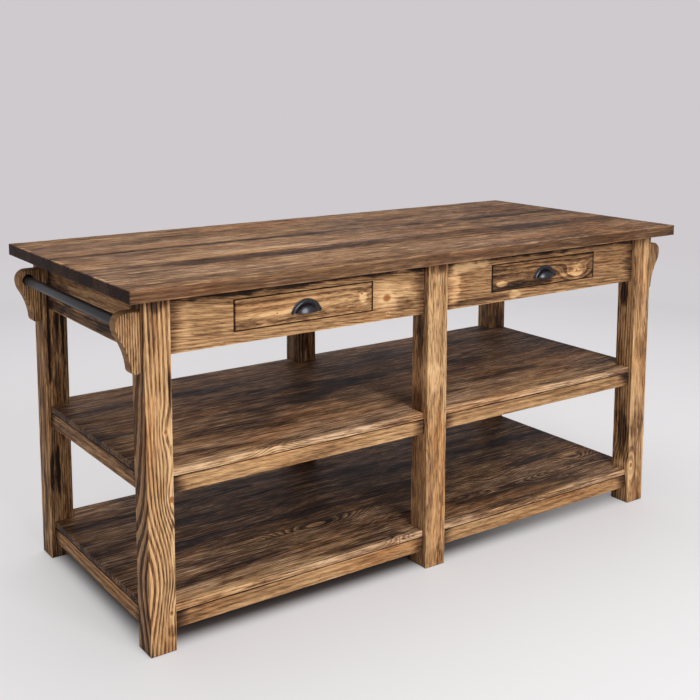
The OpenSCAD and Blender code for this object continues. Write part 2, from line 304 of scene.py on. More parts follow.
    def fade(self, factor: Sock, towards: bpy.types.ShaderNode) -> None:
        """Fades the finished surface towards another shader.

        Args:
            factor: share of the other shader.
            towards: the other shader.
        """
        end = next(n for n in self.tree.nodes if n.type == "OUTPUT_MATERIAL")
        surface = Sock(self, end.inputs[0].links[0].from_socket)
        mixed = self.node("ShaderNodeMixShader", {}, {0: factor, 1: surface, 2: self.out(towards)})
        self.tree.links.new(mixed.outputs[0], end.inputs[0])

    def finish(self, varying: dict, fixed: dict) -> bpy.types.Material:
        """Ends the graph in a principled shader.

        Args:
            varying: sockets by the shader's input name.
            fixed: plain values by the shader's input name.

        Returns:
            The material.
        """
        shader = self.node("ShaderNodeBsdfPrincipled", {}, {**varying, **fixed})
        self.node("ShaderNodeOutputMaterial", {}, {0: self.out(shader)})
        return self.owner


# Finishes


@dataclass(frozen=True)
class Knot:
    """A knot through a timber, and the swirl of rings round it.

    Attributes:
        along: place along the grain.
        across: place across it.
        radius: radius of the spot.
        swirl: rings that it pushes aside.
        reach: how far the swirl goes along the grain.
        dark: how dark its heart is.
        parting: how unevenly it pushes the rings, from one side to the other.
    """

    along: float
    across: float
    radius: float = 0.006
    swirl: float = 3.0
    reach: float = 0.045
    dark: float = 0.45
    parting: float = 0.0


@dataclass(frozen=True)
class Patch:
    """A long soft patch of darker or, where tone is negative, paler stain; some patches are painted shade.

    Attributes:
        along: place of its middle along the grain.
        across: place of its middle across the grain, or in depth for a sideways patch.
        length: size along the grain.
        width: size across it.
        tone: added in its middle.
        sideways: whether it runs through the timber across the grain.
        ragged: how uneven its outline is.
    """

    along: float
    across: float
    length: float
    width: float
    tone: float
    sideways: bool = False
    ragged: float = 1.8


@dataclass(frozen=True)
class Stave:
    """One strip of a glued panel, with the place of its far edge and its tone."""

    edge: float
    tone: float


@dataclass(frozen=True)
class Mark:
    """A kind of mark in wood, read from noise.

    Attributes:
        along: features per metre along the grain.
        across: features per metre across it.
        shift: keeps its pattern apart from that of other marks.
        detail: octaves of the noise.
        low: noise at which the mark starts.
        high: noise at which it is full.
    """

    along: float
    across: float
    shift: float
    detail: float
    low: float = 0.0
    high: float = 1.0

    def denser(self, strokes: float) -> "Mark":
        """The same mark with more of it along the grain."""
        return replace(self, along=self.along + strokes)

    def noise(self, g: Graph, place: Sock, seed: float, colour: bool = False) -> Sock:
        """The plain noise, about 0.5."""
        counts = (self.along, self.across, self.across)
        return g.noise(place, counts, seed + self.shift, self.detail, colour)

    def read(self, g: Graph, place: Sock, seed: float) -> Sock:
        """1 on the marks and 0 between them."""
        return g.smooth(self.noise(g, place, seed), self.low, self.high)


@dataclass(frozen=True)
class Spot:
    """The shaded point of a timber, along its grain, across it and in depth, and the timber's corners."""

    g: Graph
    along: Sock
    across: Sock
    depth: Sock
    lo: tuple[float, ...]
    hi: tuple[float, ...]

    @classmethod
    def within(cls, g: Graph, run: Run, box: Box) -> "Spot":
        """Finds the shaded point of a timber that fills a box.

        Args:
            g: the graph.
            run: which way the timber lies.
            box: its lowest and highest corner.

        Returns:
            The shaded point.
        """
        parts = g.split(g.place())
        lo, hi = (tuple(corner[i] for i in run.value) for corner in box)
        return cls(g, *(parts[i] for i in run.value), lo, hi)


# Marks of stained wood, and two of plain wood
WANDER = Mark(2.4, 11.0, 0.0, 3.0)
FIBRE = Mark(4.0, 360.0, 3.1, 3.0)
DASH = Mark(0.0, 330.0, 11.3, 1.0, 0.50, 0.58)
STREAK = Mark(8.0, 85.0, 21.7, 4.0, 0.42, 0.60)
SCRATCH = Mark(14.0, 320.0, 27.1, 1.0, 0.60, 0.68)
HAIR = Mark(16.0, 240.0, 33.3, 1.0)
RAGGED = Mark(16.0, 60.0, 39.1, 3.0)
PATCHY = Mark(4.5, 22.0, 7.7, 3.0)
BLOTCH = Mark(3.2, 15.0, 17.9, 3.0, 0.46, 0.68)
PLAIN_SWAY = Mark(2.0, 14.0, 0.0, 2.0)
PLAIN_FIBRE = Mark(30.0, 700.0, 5.0, 2.0)

# Colours of the stain by its tone, tints that multiply them, and colours of knots and plain wood
STAIN = (
    (0.00, (0.840, 0.538, 0.272)),
    (0.22, (0.590, 0.344, 0.158)),
    (0.45, (0.310, 0.162, 0.072)),
    (0.65, (0.140, 0.070, 0.032)),
    (0.85, (0.052, 0.027, 0.0155)),
    (1.00, (0.019, 0.0112, 0.0080)),
)
WARMER = (1.0, 0.82, 0.66)
COOLER = (1.06, 1.18, 1.60)
KNOT_ORANGE = (0.47, 0.175, 0.052)
KNOT_HEART = (0.11, 0.038, 0.018)
PLAIN_EARLY = (0.66, 0.47, 0.27)
PLAIN_LATE = (0.42, 0.25, 0.11)

# Where a stretch of stain, wear or painted shade starts and is full, in metres from a glue line, a face, an
# end or an arris
GLUE_LINE = (0.0016, 0.0004)
UNDER_TOP = (0.0008, 0.0030)
OFF_FACES = (0.0006, 0.0026)
LEFT_FACE_SHADE = (0.0040, 0.0012)
END_STAIN_AND_SHADE = (0.045, 0.0)
END_GRAIN = (0.0045, 0.0015)
ARRIS = (0.0055, 0.0010)


@dataclass(frozen=True)
class StainedWood:
    """Brushed softwood under a dark stain that gathers in the soft part of the growth rings.

    Tone runs from 0, pale gold, to 1, nearly black, and what adds to it or takes from it is in its units.

    Attributes:
        run: which way the timber lies.
        heart: from the timber's middle to its heart, across the grain and in depth.
        ring: width of a growth ring.
        late: share of the ring that is dark.
        lean: how far the heart drifts along the timber, across the grain and in depth.
        wobble: how far the rings wander.
        tone: tone to start from, where there are no staves.
        rings: added in the soft part of a ring.
        ridges: taken from the hard part.
        dashes: added by short dark dashes.
        strokes: dashes per metre.
        streaks: added by long dark streaks.
        scratches: taken by pale scratches.
        hairlines: added by thin dark lines.
        blotches: added by soft blotches.
        end_stain_and_shade: added towards both ends, as stain that gathers there and as painted shade where
            the timber meets its neighbours.
        end_grain: added in the end grain.
        sides: tone of all that lies under a panel's upper face, or 0 for no change.
        edges: tone of the narrow faces of a board, or 0 for no change; round the drawers it is painted
            shade in the gaps.
        left_face_shade: added on the left face of a post, painted shade on the side turned from the lamps.
        worn: taken along the arrises.
        cool: share of the cooler tint.
        warmth: share of the warmer tint.
        slant: slope of the brushed grain.
        seed: tells this timber's grain from others.
        roughness: roughness between the marks.
        sheen: specular level.
        knots: its knots.
        patches: its soft patches.
        staves: the strips of a glued panel.
        joints: added on the glue lines between them.
    """

    run: Run
    heart: tuple[float, float] = (0.0, 0.03)
    ring: float = 0.006
    late: float = 0.45
    lean: tuple[float, float] = (0.0, 0.01)
    wobble: float = 0.012
    tone: float = 0.2
    rings: float = 0.45
    ridges: float = 0.06
    dashes: float = 0.35
    strokes: float = 32.0
    streaks: float = 0.12
    scratches: float = 0.10
    hairlines: float = 0.16
    blotches: float = 0.3
    end_stain_and_shade: float = 0.2
    end_grain: float = 0.4
    sides: float = 0.0
    edges: float = 0.0
    left_face_shade: float = 0.0
    worn: float = 0.15
    cool: float = 0.0
    warmth: float = 0.8
    slant: float = 0.0
    seed: float = 0.0
    roughness: float = 0.58
    sheen: float = 0.12
    knots: tuple[Knot, ...] = ()
    patches: tuple[Patch, ...] = ()
    staves: tuple[Stave, ...] = ()
    joints: float = 0.22

    def material(self, name: str, box: Box) -> bpy.types.Material:
        """Builds the material for one timber.

        Args:
            name: name of the material.
            box: lowest and highest corner of the timber.

        Returns:
            The material.
        """
        g = Graph(bpy.data.materials.new(name))
        at = Spot.within(g, self.run, box)
        place = g.join(at.along, at.across, at.depth)
        brushed = g.join(at.along, at.across - at.along * self.slant, at.depth)
        sway, dip, drift = g.split(WANDER.noise(g, place, self.seed, colour=True))
        fibre = FIBRE.denser(self.strokes).noise(g, brushed, self.seed)
        dash = DASH.denser(self.strokes).read(g, brushed, self.seed)
        hair = abs(HAIR.noise(g, brushed, self.seed) - 0.5)
        patchy = PATCHY.noise(g, place, self.seed)
        side, deep, tone = self._heart(at)
        side = side + (sway - 0.5) * self.wobble
        deep = deep + (dip - 0.5) * self.wobble
        pull, stir, eye, core, rim = self._knots(at)
        phase = g.math("SQRT", side * side + deep * deep) / self.ring + (drift - 0.5) * 0.8 + pull
        season = g.math("FRACT", phase + (fibre - 0.5) * 0.25)
        soft = g.smooth(season, 0.92 - self.late, 1.04 - self.late) * g.smooth(season, 1.0, 0.92)
        soft = soft * g.smooth(patchy, 0.28, 0.52) * (dash * 0.35 + 0.75)
        tone = tone + soft * (stir * 0.20 + self.rings)
        tone = tone - g.smooth(season, 0.35, 0.10) * (stir * 0.16 + self.ridges)
        tone = tone + dash * self.dashes * g.smooth(patchy, 0.70, 0.30)
        tone = tone + STREAK.read(g, place, self.seed) * self.streaks
        tone = tone - SCRATCH.read(g, brushed, self.seed) * self.scratches
        tone = tone + BLOTCH.read(g, place, self.seed) * self.blotches
        tone = tone + g.smooth(hair, 0.055, 0.015) * self.hairlines
        tone = tone + (fibre - 0.5) * 0.5 + self._patches(at, RAGGED.noise(g, place, self.seed))
        if self.sides:
            tone = tone + (self.sides - tone) * g.smooth(at.hi[2] - at.depth, *UNDER_TOP) * 0.6
        tone = tone + self._ends(at, patchy) - self._arris(at, patchy)
        tone = tone - (tone - 0.15) * eye * 0.8 - rim * 0.16
        # Narrow faces take the edge tone; at the drawer fronts and their openings this is painted shade in
        # the gaps.
        if self.edges:
            inner = g.math("MINIMUM", at.depth - at.lo[2], at.hi[2] - at.depth)
            tone = tone + (self.edges - tone) * g.smooth(inner, *OFF_FACES) * 0.8
        # Painted shade: the left face of a post is darkened, as it is turned from the lamps.
        if self.left_face_shade:
            tone = tone + g.smooth(at.across - at.lo[1], *LEFT_FACE_SHADE) * self.left_face_shade
        height = (fibre - 0.5) * 0.7 - soft * 0.8 - dash * 0.5
        return g.finish(
            {"Base Color": self._colour(g, tone, sway, drift, eye, core),
             "Roughness": self.roughness + soft * 0.16 + (fibre - 0.5) * 0.2,
             "Normal": g.bump(height, 0.6, 0.0012)},
            {"Specular IOR Level": self.sheen})

    def _heart(self, at: Spot) -> tuple[Sock, Sock, Term]:
        """Measures from the heart of the timber, or of each strip of a panel.

        Args:
            at: the shaded point.

        Returns:
            Distance to the heart across and in depth, and the tone to start from.
        """
        g = at.g
        centre = [(low + high) / 2 for low, high in zip(at.lo, at.hi)]
        reach = at.along - centre[0]
        deep = at.depth - (centre[2] + self.heart[1]) + reach * self.lean[1]
        if not self.staves:
            return at.across - (centre[1] + self.heart[0]) + reach * self.lean[0], deep, self.tone
        width = at.hi[1] - at.lo[1]
        stops = []
        start = at.lo[1]
        for number, stave in enumerate(self.staves):
            middle = (start + stave.edge) / 2 + 0.3 * (stave.edge - start) * math.sin(5.0 * number)
            stops.append(((start - at.lo[1]) / width,
                          (stave.tone, (middle - at.lo[1]) / width, 0.5 + 0.5 * math.sin(7.0 * number))))
            start = stave.edge
        tone, middle, shift = g.split(g.ramp((at.across - at.lo[1]) / width, stops, steps=True))
        for stave in self.staves[:-1]:
            tone = tone + g.smooth(abs(at.across - stave.edge), *GLUE_LINE) * self.joints
        return at.across - middle * width - at.lo[1], deep - shift * 0.06, tone

    def _knots(self, at: Spot) -> tuple[Term, ...]:
        """Swirls and spots of the knots.

        Args:
            at: the shaded point.

        Returns:
            How far the knots push the rings, how much the rings stand out round them, and the knots' orange
            spots, dark cores and pale rims.
        """
        g = at.g
        pull, stir, eye, core, rim = (0.0,) * 5
        for knot in self.knots:
            ahead, beside = at.along - knot.along, at.across - knot.across
            u, v = ahead / knot.reach, beside / (0.4 * knot.reach)
            near = g.math("EXPONENT", (u * u + v * v) * -1.0)
            pull = near * (knot.swirl - v * knot.parting) + pull
            stir = near * min(1.0, (abs(knot.swirl) + knot.parting) / 6.0) + stir
            u, v = ahead / (1.35 * knot.radius), beside / knot.radius
            far = g.math("SQRT", u * u + v * v)
            eye = g.smooth(far, 1.15, 0.80) + eye
            core = g.smooth(far, 0.9, 0.2) * knot.dark + core
            rim = g.smooth(far, 2.6, 1.4) * g.smooth(far, 0.9, 1.3) + rim
        return pull, stir, eye, core, rim

    def _patches(self, at: Spot, ragged: Sock) -> Term:
        """Sums the soft patches.

        Args:
            at: the shaded point.
            ragged: noise that makes their outlines uneven.

        Returns:
            What they add to the tone.
        """
        total: Term = 0.0
        for patch in self.patches:
            u = (at.along - patch.along) / (0.5 * patch.length)
            v = ((at.depth if patch.sideways else at.across) - patch.across) / (0.5 * patch.width)
            far = at.g.math("SQRT", u * u + v * v) + (ragged - 0.5) * patch.ragged
            total = at.g.smooth(far, 1.15, 0.55) * patch.tone + total
        return total

    def _ends(self, at: Spot, ragged: Sock) -> Sock:
        """Darkens towards both ends, with stain and with painted shade where the timber meets its
        neighbours, and most in the end grain.

        Args:
            at: the shaded point.
            ragged: noise that makes the dark zone uneven.

        Returns:
            What the ends add to the tone.
        """
        reach = at.g.math("MINIMUM", at.along - at.lo[0], at.hi[0] - at.along)
        near = at.g.smooth(reach + (ragged - 0.5) * 0.06, *END_STAIN_AND_SHADE)
        return near * self.end_stain_and_shade + at.g.smooth(reach, *END_GRAIN) * self.end_grain

    def _arris(self, at: Spot, ragged: Sock) -> Sock:
        """Rubs stain off along the arrises, where the middle one of the distances to the faces is small.

        Args:
            at: the shaded point.
            ragged: noise that makes the wear uneven.

        Returns:
            What the wear takes from the tone.
        """
        g = at.g
        gaps = [g.math("MINIMUM", part - low, high - part)
                for part, low, high in zip((at.along, at.across, at.depth), at.lo, at.hi)]
        low = g.math("MINIMUM", gaps[0], gaps[1])
        high = g.math("MAXIMUM", gaps[0], gaps[1])
        middle = g.math("MAXIMUM", low, g.math("MINIMUM", high, gaps[2]))
        return g.smooth(middle + (ragged - 0.5) * 0.006, *ARRIS) * self.worn

    def _colour(self, g: Graph, tone: Sock, sway: Sock, drift: Sock, eye: Term, core: Term) -> Sock:
        """Turns the tone into a colour.

        Args:
            g: the graph.
            tone: how dark the stain is.
            sway: noise that says where the stain is cooler.
            drift: noise that says where it is warmer.
            eye: the knots' spots.
            core: their dark cores.

        Returns:
            The colour.
        """
        colour = g.ramp(tone, STAIN)
        warm = g.mix(1.0, colour, WARMER, "MULTIPLY")
        colour = g.mix(g.smooth(drift, 0.45, 0.72) * self.warmth, colour, warm)
        if self.cool:
            cool = g.mix(1.0, colour, COOLER, "MULTIPLY")
            colour = g.mix(g.smooth(sway, 0.25, 0.75) * self.cool, colour, cool)
        return g.mix(eye * 0.9, colour, g.mix(core, KNOT_ORANGE, KNOT_HEART))


@dataclass(frozen=True)
class PlainWood:
    """Planed pale softwood of the hidden parts, without stain, with its bands counted per metre."""

    run: Run
    seed: float = 0.0
    bands_across: float = 90.0
    bands_deep: float = 60.0
    sway: float = 6.0

    def material(self, name: str) -> bpy.types.Material:
        """Builds the material.

        Args:
            name: name of the material.

        Returns:
            The material.
        """
        g = Graph(bpy.data.materials.new(name))
        parts = g.split(g.place())
        along, across, depth = (parts[i] for i in self.run.value)
        place = g.join(along, across, depth)
        sway = PLAIN_SWAY.noise(g, place, self.seed)
        bands = g.math("FRACT", across * self.bands_across + depth * self.bands_deep + sway * self.sway)
        late = g.smooth(bands, 0.55, 0.92) * g.smooth(bands, 1.0, 0.95)
        fibre = PLAIN_FIBRE.noise(g, place, self.seed)
        colour = g.mix(late * 0.55 + (fibre - 0.5) * 0.5, PLAIN_EARLY, PLAIN_LATE)
        height = fibre * 0.5 - late * 0.2
        return g.finish({"Base Color": colour, "Roughness": 0.55 + (fibre - 0.5) * 0.2,
                         "Normal": g.bump(height, 0.35, 0.0005)}, {"Specular IOR Level": 0.35})


@dataclass(frozen=True)
class MottledMetal:
    """Metal with faint mottling and a few rubbed places."""

    base: Colour
    rubbed: Colour
    roughness: float
    metallic: float
    mottle: float = 160.0
    grit: float = 2600.0

    def material(self, name: str) -> bpy.types.Material:
        """Builds the material.

        Args:
            name: name of the material.

        Returns:
            The material.
        """
        g = Graph(bpy.data.materials.new(name))
        place = g.place()
        cloud = g.noise(place, (self.mottle,) * 3, 2.0, 3.0)
        grit = g.noise(place, (self.grit,) * 3, 6.0, 2.0)
        rub = g.smooth(cloud, 0.55, 0.80)
        colour = g.mix(rub * 0.6, self.base, self.rubbed)
        rough = self.roughness + (cloud - 0.5) * 0.25 + (grit - 0.5) * 0.12
        return g.finish({"Base Color": colour, "Roughness": rough, "Normal": g.bump(grit, 0.25, 0.0002)},
                        {"Metallic": self.metallic})


# Workbench: modelling steps that the pieces share

Element = Union[bmesh.types.BMEdge, bmesh.types.BMFace]


def deselect() -> None:
    """Leaves nothing selected or active."""
    bpy.ops.object.select_all(action="DESELECT")
    bpy.context.view_layer.objects.active = None


def pick(piece: bpy.types.Object) -> None:
    """Makes one object the only one selected, and active.

    Args:
        piece: the object.
    """
    deselect()
    piece.select_set(True)
    bpy.context.view_layer.objects.active = piece


def fix_place() -> None:
    """Moves the place, turn and scale of the picked piece into its mesh."""
    bpy.ops.object.transform_apply(location=True, rotation=True, scale=True)


@contextmanager
def editing(piece: bpy.types.Object) -> Iterator[None]:
    """Opens a piece for a step in edit mode, with all of it selected, and closes it after the step.

    Args:
        piece: the object.

    Returns:
        A context for the step.
    """
    pick(piece)
    bpy.ops.object.mode_set(mode="EDIT")
    bpy.ops.mesh.select_all(action="SELECT")
    yield
    bpy.ops.object.mode_set(mode="OBJECT")


def block(name: str, box: Box) -> bpy.types.Object:
    """Adds a block at its size and place.

    Args:
        name: name of the object.
        box: lowest and highest corner.

    Returns:
        The block, with its place in its mesh.
    """
    deselect()
    lo, hi = box
    bpy.ops.mesh.primitive_cube_add(size=1.0, location=(lo + hi) / 2, scale=hi - lo)
    piece = bpy.context.object
    piece.name = name
    fix_place()
    return piece


def sketch(name: str, points: Sequence[Point], edges: Sequence[tuple[int, int]],
           faces: Sequence[Sequence[int]]) -> bpy.types.Object:
    """Adds a piece from bare points.

    Args:
        name: name of the object.
        points: its points.
        edges: pairs of points.
        faces: rings of points.

    Returns:
        The piece.
    """
    mesh = bpy.data.meshes.new(name)
    mesh.from_pydata(points, edges, faces)
    piece = bpy.data.objects.new(name, mesh)
    bpy.context.scene.collection.objects.link(piece)
    return piece


def rod(name: str, radius: float, length: float, centre: Vector, sides: int) -> bpy.types.Object:
    """Adds a round rod that runs along Y.

    Args:
        name: name of the object.
        radius: its radius.
        length: its length.
        centre: its middle.
        sides: flats round it.

    Returns:
        The rod, with its place in its mesh.
    """
    deselect()
    bpy.ops.mesh.primitive_cylinder_add(vertices=sides, radius=radius, depth=length, location=centre,
                                        rotation=(math.pi / 2, 0.0, 0.0))
    piece = bpy.context.object
    piece.name = name
    fix_place()
    return piece


def face_out(piece: bpy.types.Object) -> None:
    """Turns all faces of a closed piece outwards.

    Args:
        piece: the object.
    """
    with editing(piece):
        bpy.ops.mesh.normals_make_consistent(inside=False)


def select(piece: bpy.types.Object, part: Part, wanted: Callable[[Element], bool]) -> int:
    """Selects the wanted edges or faces of a piece, and nothing else.

    Args:
        piece: the object, in edit mode.
        part: edges or faces.
        wanted: says whether one of them is selected.

    Returns:
        How many are selected.
    """
    mesh = bmesh.from_edit_mesh(piece.data)
    bpy.ops.mesh.select_mode(type=part.value)
    bpy.ops.mesh.select_all(action="DESELECT")
    chosen = [element for element in (mesh.edges if part is Part.EDGE else mesh.faces) if wanted(element)]
    for element in chosen:
        element.select_set(True)
    bmesh.update_edit_mesh(piece.data)
    return len(chosen)


def is_arris(edge: bmesh.types.BMEdge) -> bool:
    """Whether an edge stands out between two faces."""
    return len(edge.link_faces) == 2 and edge.calc_face_angle_signed() > math.radians(30)


def ease(piece: bpy.types.Object, width: float, segments: int = 3,
         wanted: Callable[[bmesh.types.BMEdge], bool] = is_arris) -> None:
    """Rounds the arrises of a piece.

    Args:
        piece: the object.
        width: how far the rounding goes into each face.
        segments: faces across the rounding.
        wanted: says which edges are rounded.
    """
    with editing(piece):
        if select(piece, Part.EDGE, wanted):
            bpy.ops.mesh.bevel(offset=width, segments=segments, profile=0.5, affect="EDGES")


def boolean(piece: bpy.types.Object, tool: bpy.types.Object, join: Join = Join.CUT) -> None:
    """Cuts a piece with a tool or joins the two, and removes the tool.

    Args:
        piece: the object.
        tool: the object that cuts it or is joined to it.
        join: which of the two.
    """
    pick(piece)
    modifier = piece.modifiers.new("cut", "BOOLEAN")
    modifier.operation = join.value
    modifier.object = tool
    modifier.solver = "EXACT"
    bpy.ops.object.modifier_apply(modifier=modifier.name)
    bpy.data.objects.remove(tool, do_unlink=True)


def slice_along(piece: bpy.types.Object, axis: int, step: float) -> None:
    """Cuts the faces of a piece at even steps, so that its arrises can waver.

    Args:
        piece: the object.
        axis: number of the axis that is stepped along.
        step: about how far the cuts are apart.
    """
    lo = min(v.co[axis] for v in piece.data.vertices)
    hi = max(v.co[axis] for v in piece.data.vertices)
    count = max(1, round((hi - lo) / step))
    normal = tuple(1.0 if i == axis else 0.0 for i in range(3))
    with editing(piece):
        for number in range(1, count):
            point = tuple(n * (lo + (hi - lo) * number / count) for n in normal)
            bpy.ops.mesh.select_all(action="SELECT")
            bpy.ops.mesh.bisect(plane_co=point, plane_no=normal)


def weather(piece: bpy.types.Object, depth: float, grain: float) -> None:
    """Sinks the surface unevenly by up to depth, as brushing and wear do.

    Args:
        piece: the object.
        depth: deepest place.
        grain: size of the hollows.
    """
    pick(piece)
    pattern = bpy.data.textures.new(piece.name + "_wear", "CLOUDS")
    pattern.noise_scale = grain
    pattern.noise_depth = 2
    modifier = piece.modifiers.new("wear", "DISPLACE")
    modifier.texture = pattern
    modifier.texture_coords = "GLOBAL"
    modifier.mid_level = 1.0
    modifier.strength = depth
    bpy.ops.object.modifier_apply(modifier=modifier.name)


def smooth(piece: bpy.types.Object, angle: float = 32.0) -> None:
    """Shades a piece smooth up to an angle in degrees."""
    pick(piece)
    bpy.ops.object.shade_smooth_by_angle(angle=math.radians(angle))


def copy_of(piece: bpy.types.Object, name: str) -> bpy.types.Object:
    """Copies a piece.

    Args:
        piece: the object.
        name: name of the copy.

    Returns:
        The copy, with a mesh of its own.
    """
    made = piece.copy()
    made.data = piece.data.copy()
    made.name = name
    bpy.context.scene.collection.objects.link(made)
    return made


def settle(piece: bpy.types.Object, body: str, nodes: Sequence[str],
           material: bpy.types.Material) -> None:
    """Dresses a finished piece and puts it in the place of its CAD nodes.

    Args:
        piece: the object.
        body: the body that carries it.
        nodes: the CAD nodes that it stands for.
        material: its finish.
    """
    piece.data.materials.clear()
    piece.data.materials.append(material)
    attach(piece, body)
    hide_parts(*nodes)
    LOG.info("%s rides on %s, %d faces", piece.name, body, len(piece.data.polygons))


def dress_node(node: str, material: bpy.types.Material) -> None:
    """Gives a node that keeps its CAD shape a finish.

    Args:
        node: the CAD node.
        material: its finish.
    """
    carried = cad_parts[node]
    for place in range(max(1, len(carried.data.materials))):
        if place < len(carried.data.materials):
            carried.data.materials[place] = material
        else:
            carried.data.materials.append(material)
    LOG.info("%s keeps its CAD shape", node)


@dataclass
class Timber:
    """One squared timber: how it is cut, eased and worn.

    Attributes:
        node: its CAD node.
        wood: its finish.
        tenon: length and thickness of its tenons, and width of their shoulders.
        root: how far a tenon reaches into the timber.
        eased: rounding of the arrises.
        worn: depth of the wear.
        hollows: size of the hollows that brushing leaves.
        step: distance between cuts along it, which lets the arrises waver.
        slot: name of a material slot, not used.
        body: the body that carries it.
    """

    node: str
    wood: StainedWood
    tenon: tuple[float, float, float] = (0.0, 0.0, 0.0)
    root: float = 0.006
    eased: float = 0.0016
    worn: float = 0.0010
    hollows: float = 0.035
    step: float = 0.018
    slot: str = "frame_wood"
    body: str = "frame"

    def box(self) -> Box:
        """Measures the timber between the shoulders of its tenons.

        Returns:
            Its box.
        """
        lo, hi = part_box(self.node)
        axis = self.wood.run.value[0]
        lo[axis] += self.tenon[0]
        hi[axis] -= self.tenon[0]
        return lo, hi

    def build(self, openings: Sequence[Box] = ()) -> None:
        """Models the timber and puts it in its node's place.

        Args:
            openings: boxes cut before the arrises are eased.
        """
        lo, hi = self.box()
        name = "wood_" + self.node
        piece = block(name, (lo, hi))
        for box in openings:
            boolean(piece, block("tool", box))
        ease(piece, self.eased)
        slice_along(piece, self.wood.run.value[0], self.step)
        weather(piece, self.worn, self.hollows)
        for box in self._tenons(lo, hi):
            boolean(piece, block("tool", box), Join.ADD)
        smooth(piece)
        settle(piece, self.body, [self.node], self.wood.material(name, (lo, hi)))

    def _tenons(self, lo: Vector, hi: Vector) -> list[Box]:
        """Places the tenons at both ends, with their roots in the timber.

        Args:
            lo: lowest corner of the timber without them.
            hi: highest corner.

        Returns:
            Their boxes, or none.
        """
        length, thick, shoulder = self.tenon
        if not length:
            return []
        along, across, depth = self.wood.run.value
        middle = (lo[depth] + hi[depth]) / 2
        ends = ((lo[along] - length, lo[along] + self.root), (hi[along] - self.root, hi[along] + length))
        tenons = []
        for start, end in ends:
            low, high = lo.copy(), hi.copy()
            low[along], high[along] = start, end
            low[across] += shoulder
            high[across] -= shoulder
            low[depth], high[depth] = middle - thick / 2, middle + thick / 2
            tenons.append((low, high))
        return tenons


# Sub-assemblies


@dataclass
class Legs:
    """Six square legs."""

    eased: float = 0.0030
    worn: float = 0.0014

    def finishes(self) -> dict[str, StainedWood]:
        """Chooses the finish of each leg; the ones in front follow the photograph.

        Returns:
            The finishes, by the leg's node.
        """
        plain = StainedWood(Run.POST, heart=(0.02, 0.05), ring=0.0062, lean=(0.004, 0.008), tone=0.15,
                            rings=0.4, dashes=0.3, strokes=20.0, blotches=0.3, end_stain_and_shade=0.12)
        return {
            "leg_front_left": replace(
                plain, heart=(0.115, 0.045), ring=0.0088, late=0.48, lean=(0.035, 0.0), wobble=0.007,
                tone=0.11, rings=0.38, dashes=0.14, hairlines=0.14, streaks=0.04, blotches=0.10,
                left_face_shade=0.26, seed=1.0,
                knots=(Knot(0.550, -0.822, 0.0045, -1.2, 0.05, 0.6),
                       Knot(0.382, -0.810, 0.0060, -1.8, 0.06, 0.4),
                       Knot(0.100, -0.816, 0.0045, -1.0, 0.05, 0.9),
                       Knot(0.190, -0.842, 0.0006, 3.2, 0.14)),
                patches=(Patch(0.66, -0.806, 0.14, 0.016, 0.40), Patch(0.45, -0.808, 0.20, 0.024, -0.30),
                         Patch(0.26, -0.806, 0.14, 0.018, -0.30), Patch(0.318, -0.808, 0.04, 0.014, 0.30),
                         Patch(0.11, -0.812, 0.10, 0.020, -0.25), Patch(0.052, -0.812, 0.04, 0.030, 0.25),
                         # The patch at 0.86 darkens the top of the leg: stain and painted shade under the
                         # worktop.
                         Patch(0.86, -0.838, 0.05, 0.080, 0.25), Patch(0.80, -0.853, 0.18, 0.034, 0.20))),
            "leg_front_middle": replace(
                plain, heart=(-0.02, 0.16), ring=0.0060, tone=0.165, rings=0.14, dashes=0.30, streaks=0.05,
                hairlines=0.22, blotches=0.12, left_face_shade=0.10, seed=2.3,
                # The patch at 0.86 darkens the top of the leg: stain and painted shade under the worktop.
                patches=(Patch(0.555, -0.008, 0.10, 0.060, -0.22), Patch(0.86, 0.0, 0.05, 0.080, 0.25),
                         Patch(0.03, 0.0, 0.05, 0.080, 0.10), Patch(0.70, -0.330, 0.26, 0.030, 0.35, True),
                         Patch(0.46, -0.325, 0.12, 0.040, 0.25, True))),
            "leg_front_right": replace(
                plain, heart=(-0.012, 0.06), ring=0.0095, late=0.5, tone=0.11, rings=0.22, dashes=0.28,
                streaks=0.12, blotches=0.12, left_face_shade=0.12, seed=3.7,
                knots=(Knot(0.126, 0.815, 0.006, 2.0, 0.05),),
                patches=(Patch(0.25, 0.835, 0.16, 0.050, 0.28), Patch(0.51, 0.83, 0.10, 0.050, 0.20),
                         Patch(0.10, 0.812, 0.10, 0.025, -0.30),
                         Patch(0.24, -0.333, 0.18, 0.050, 0.35, True),
                         Patch(0.69, -0.322, 0.10, 0.030, 0.45, True),
                         Patch(0.05, 0.84, 0.08, 0.05, 0.2))),
            "leg_back_left": replace(
                plain, heart=(0.05, -0.02), tone=0.27, rings=0.15, streaks=0.25, blotches=0.20, seed=4.1,
                patches=(Patch(0.66, -0.858, 0.34, 0.010, 0.7), Patch(0.70, -0.835, 0.20, 0.014, 0.45),
                         Patch(0.70, -0.818, 0.24, 0.010, 0.7), Patch(0.27, -0.862, 0.14, 0.012, 0.6),
                         Patch(0.26, -0.845, 0.16, 0.014, 0.6))),
            "leg_back_middle": replace(plain, heart=(0.03, 0.06), tone=0.36, streaks=0.2, blotches=0.3,
                                       seed=5.9),
            "leg_back_right": replace(plain, heart=(-0.03, -0.04), tone=0.30, streaks=0.2, blotches=0.4,
                                      seed=6.6),
        }

    def build(self) -> None:
        """Builds the six legs."""
        woods = self.finishes()
        for row in ROWS:
            for column in COLUMNS:
                node = f"leg_{row}_{column}"
                Timber(node, woods[node], eased=self.eased, worn=self.worn).build()


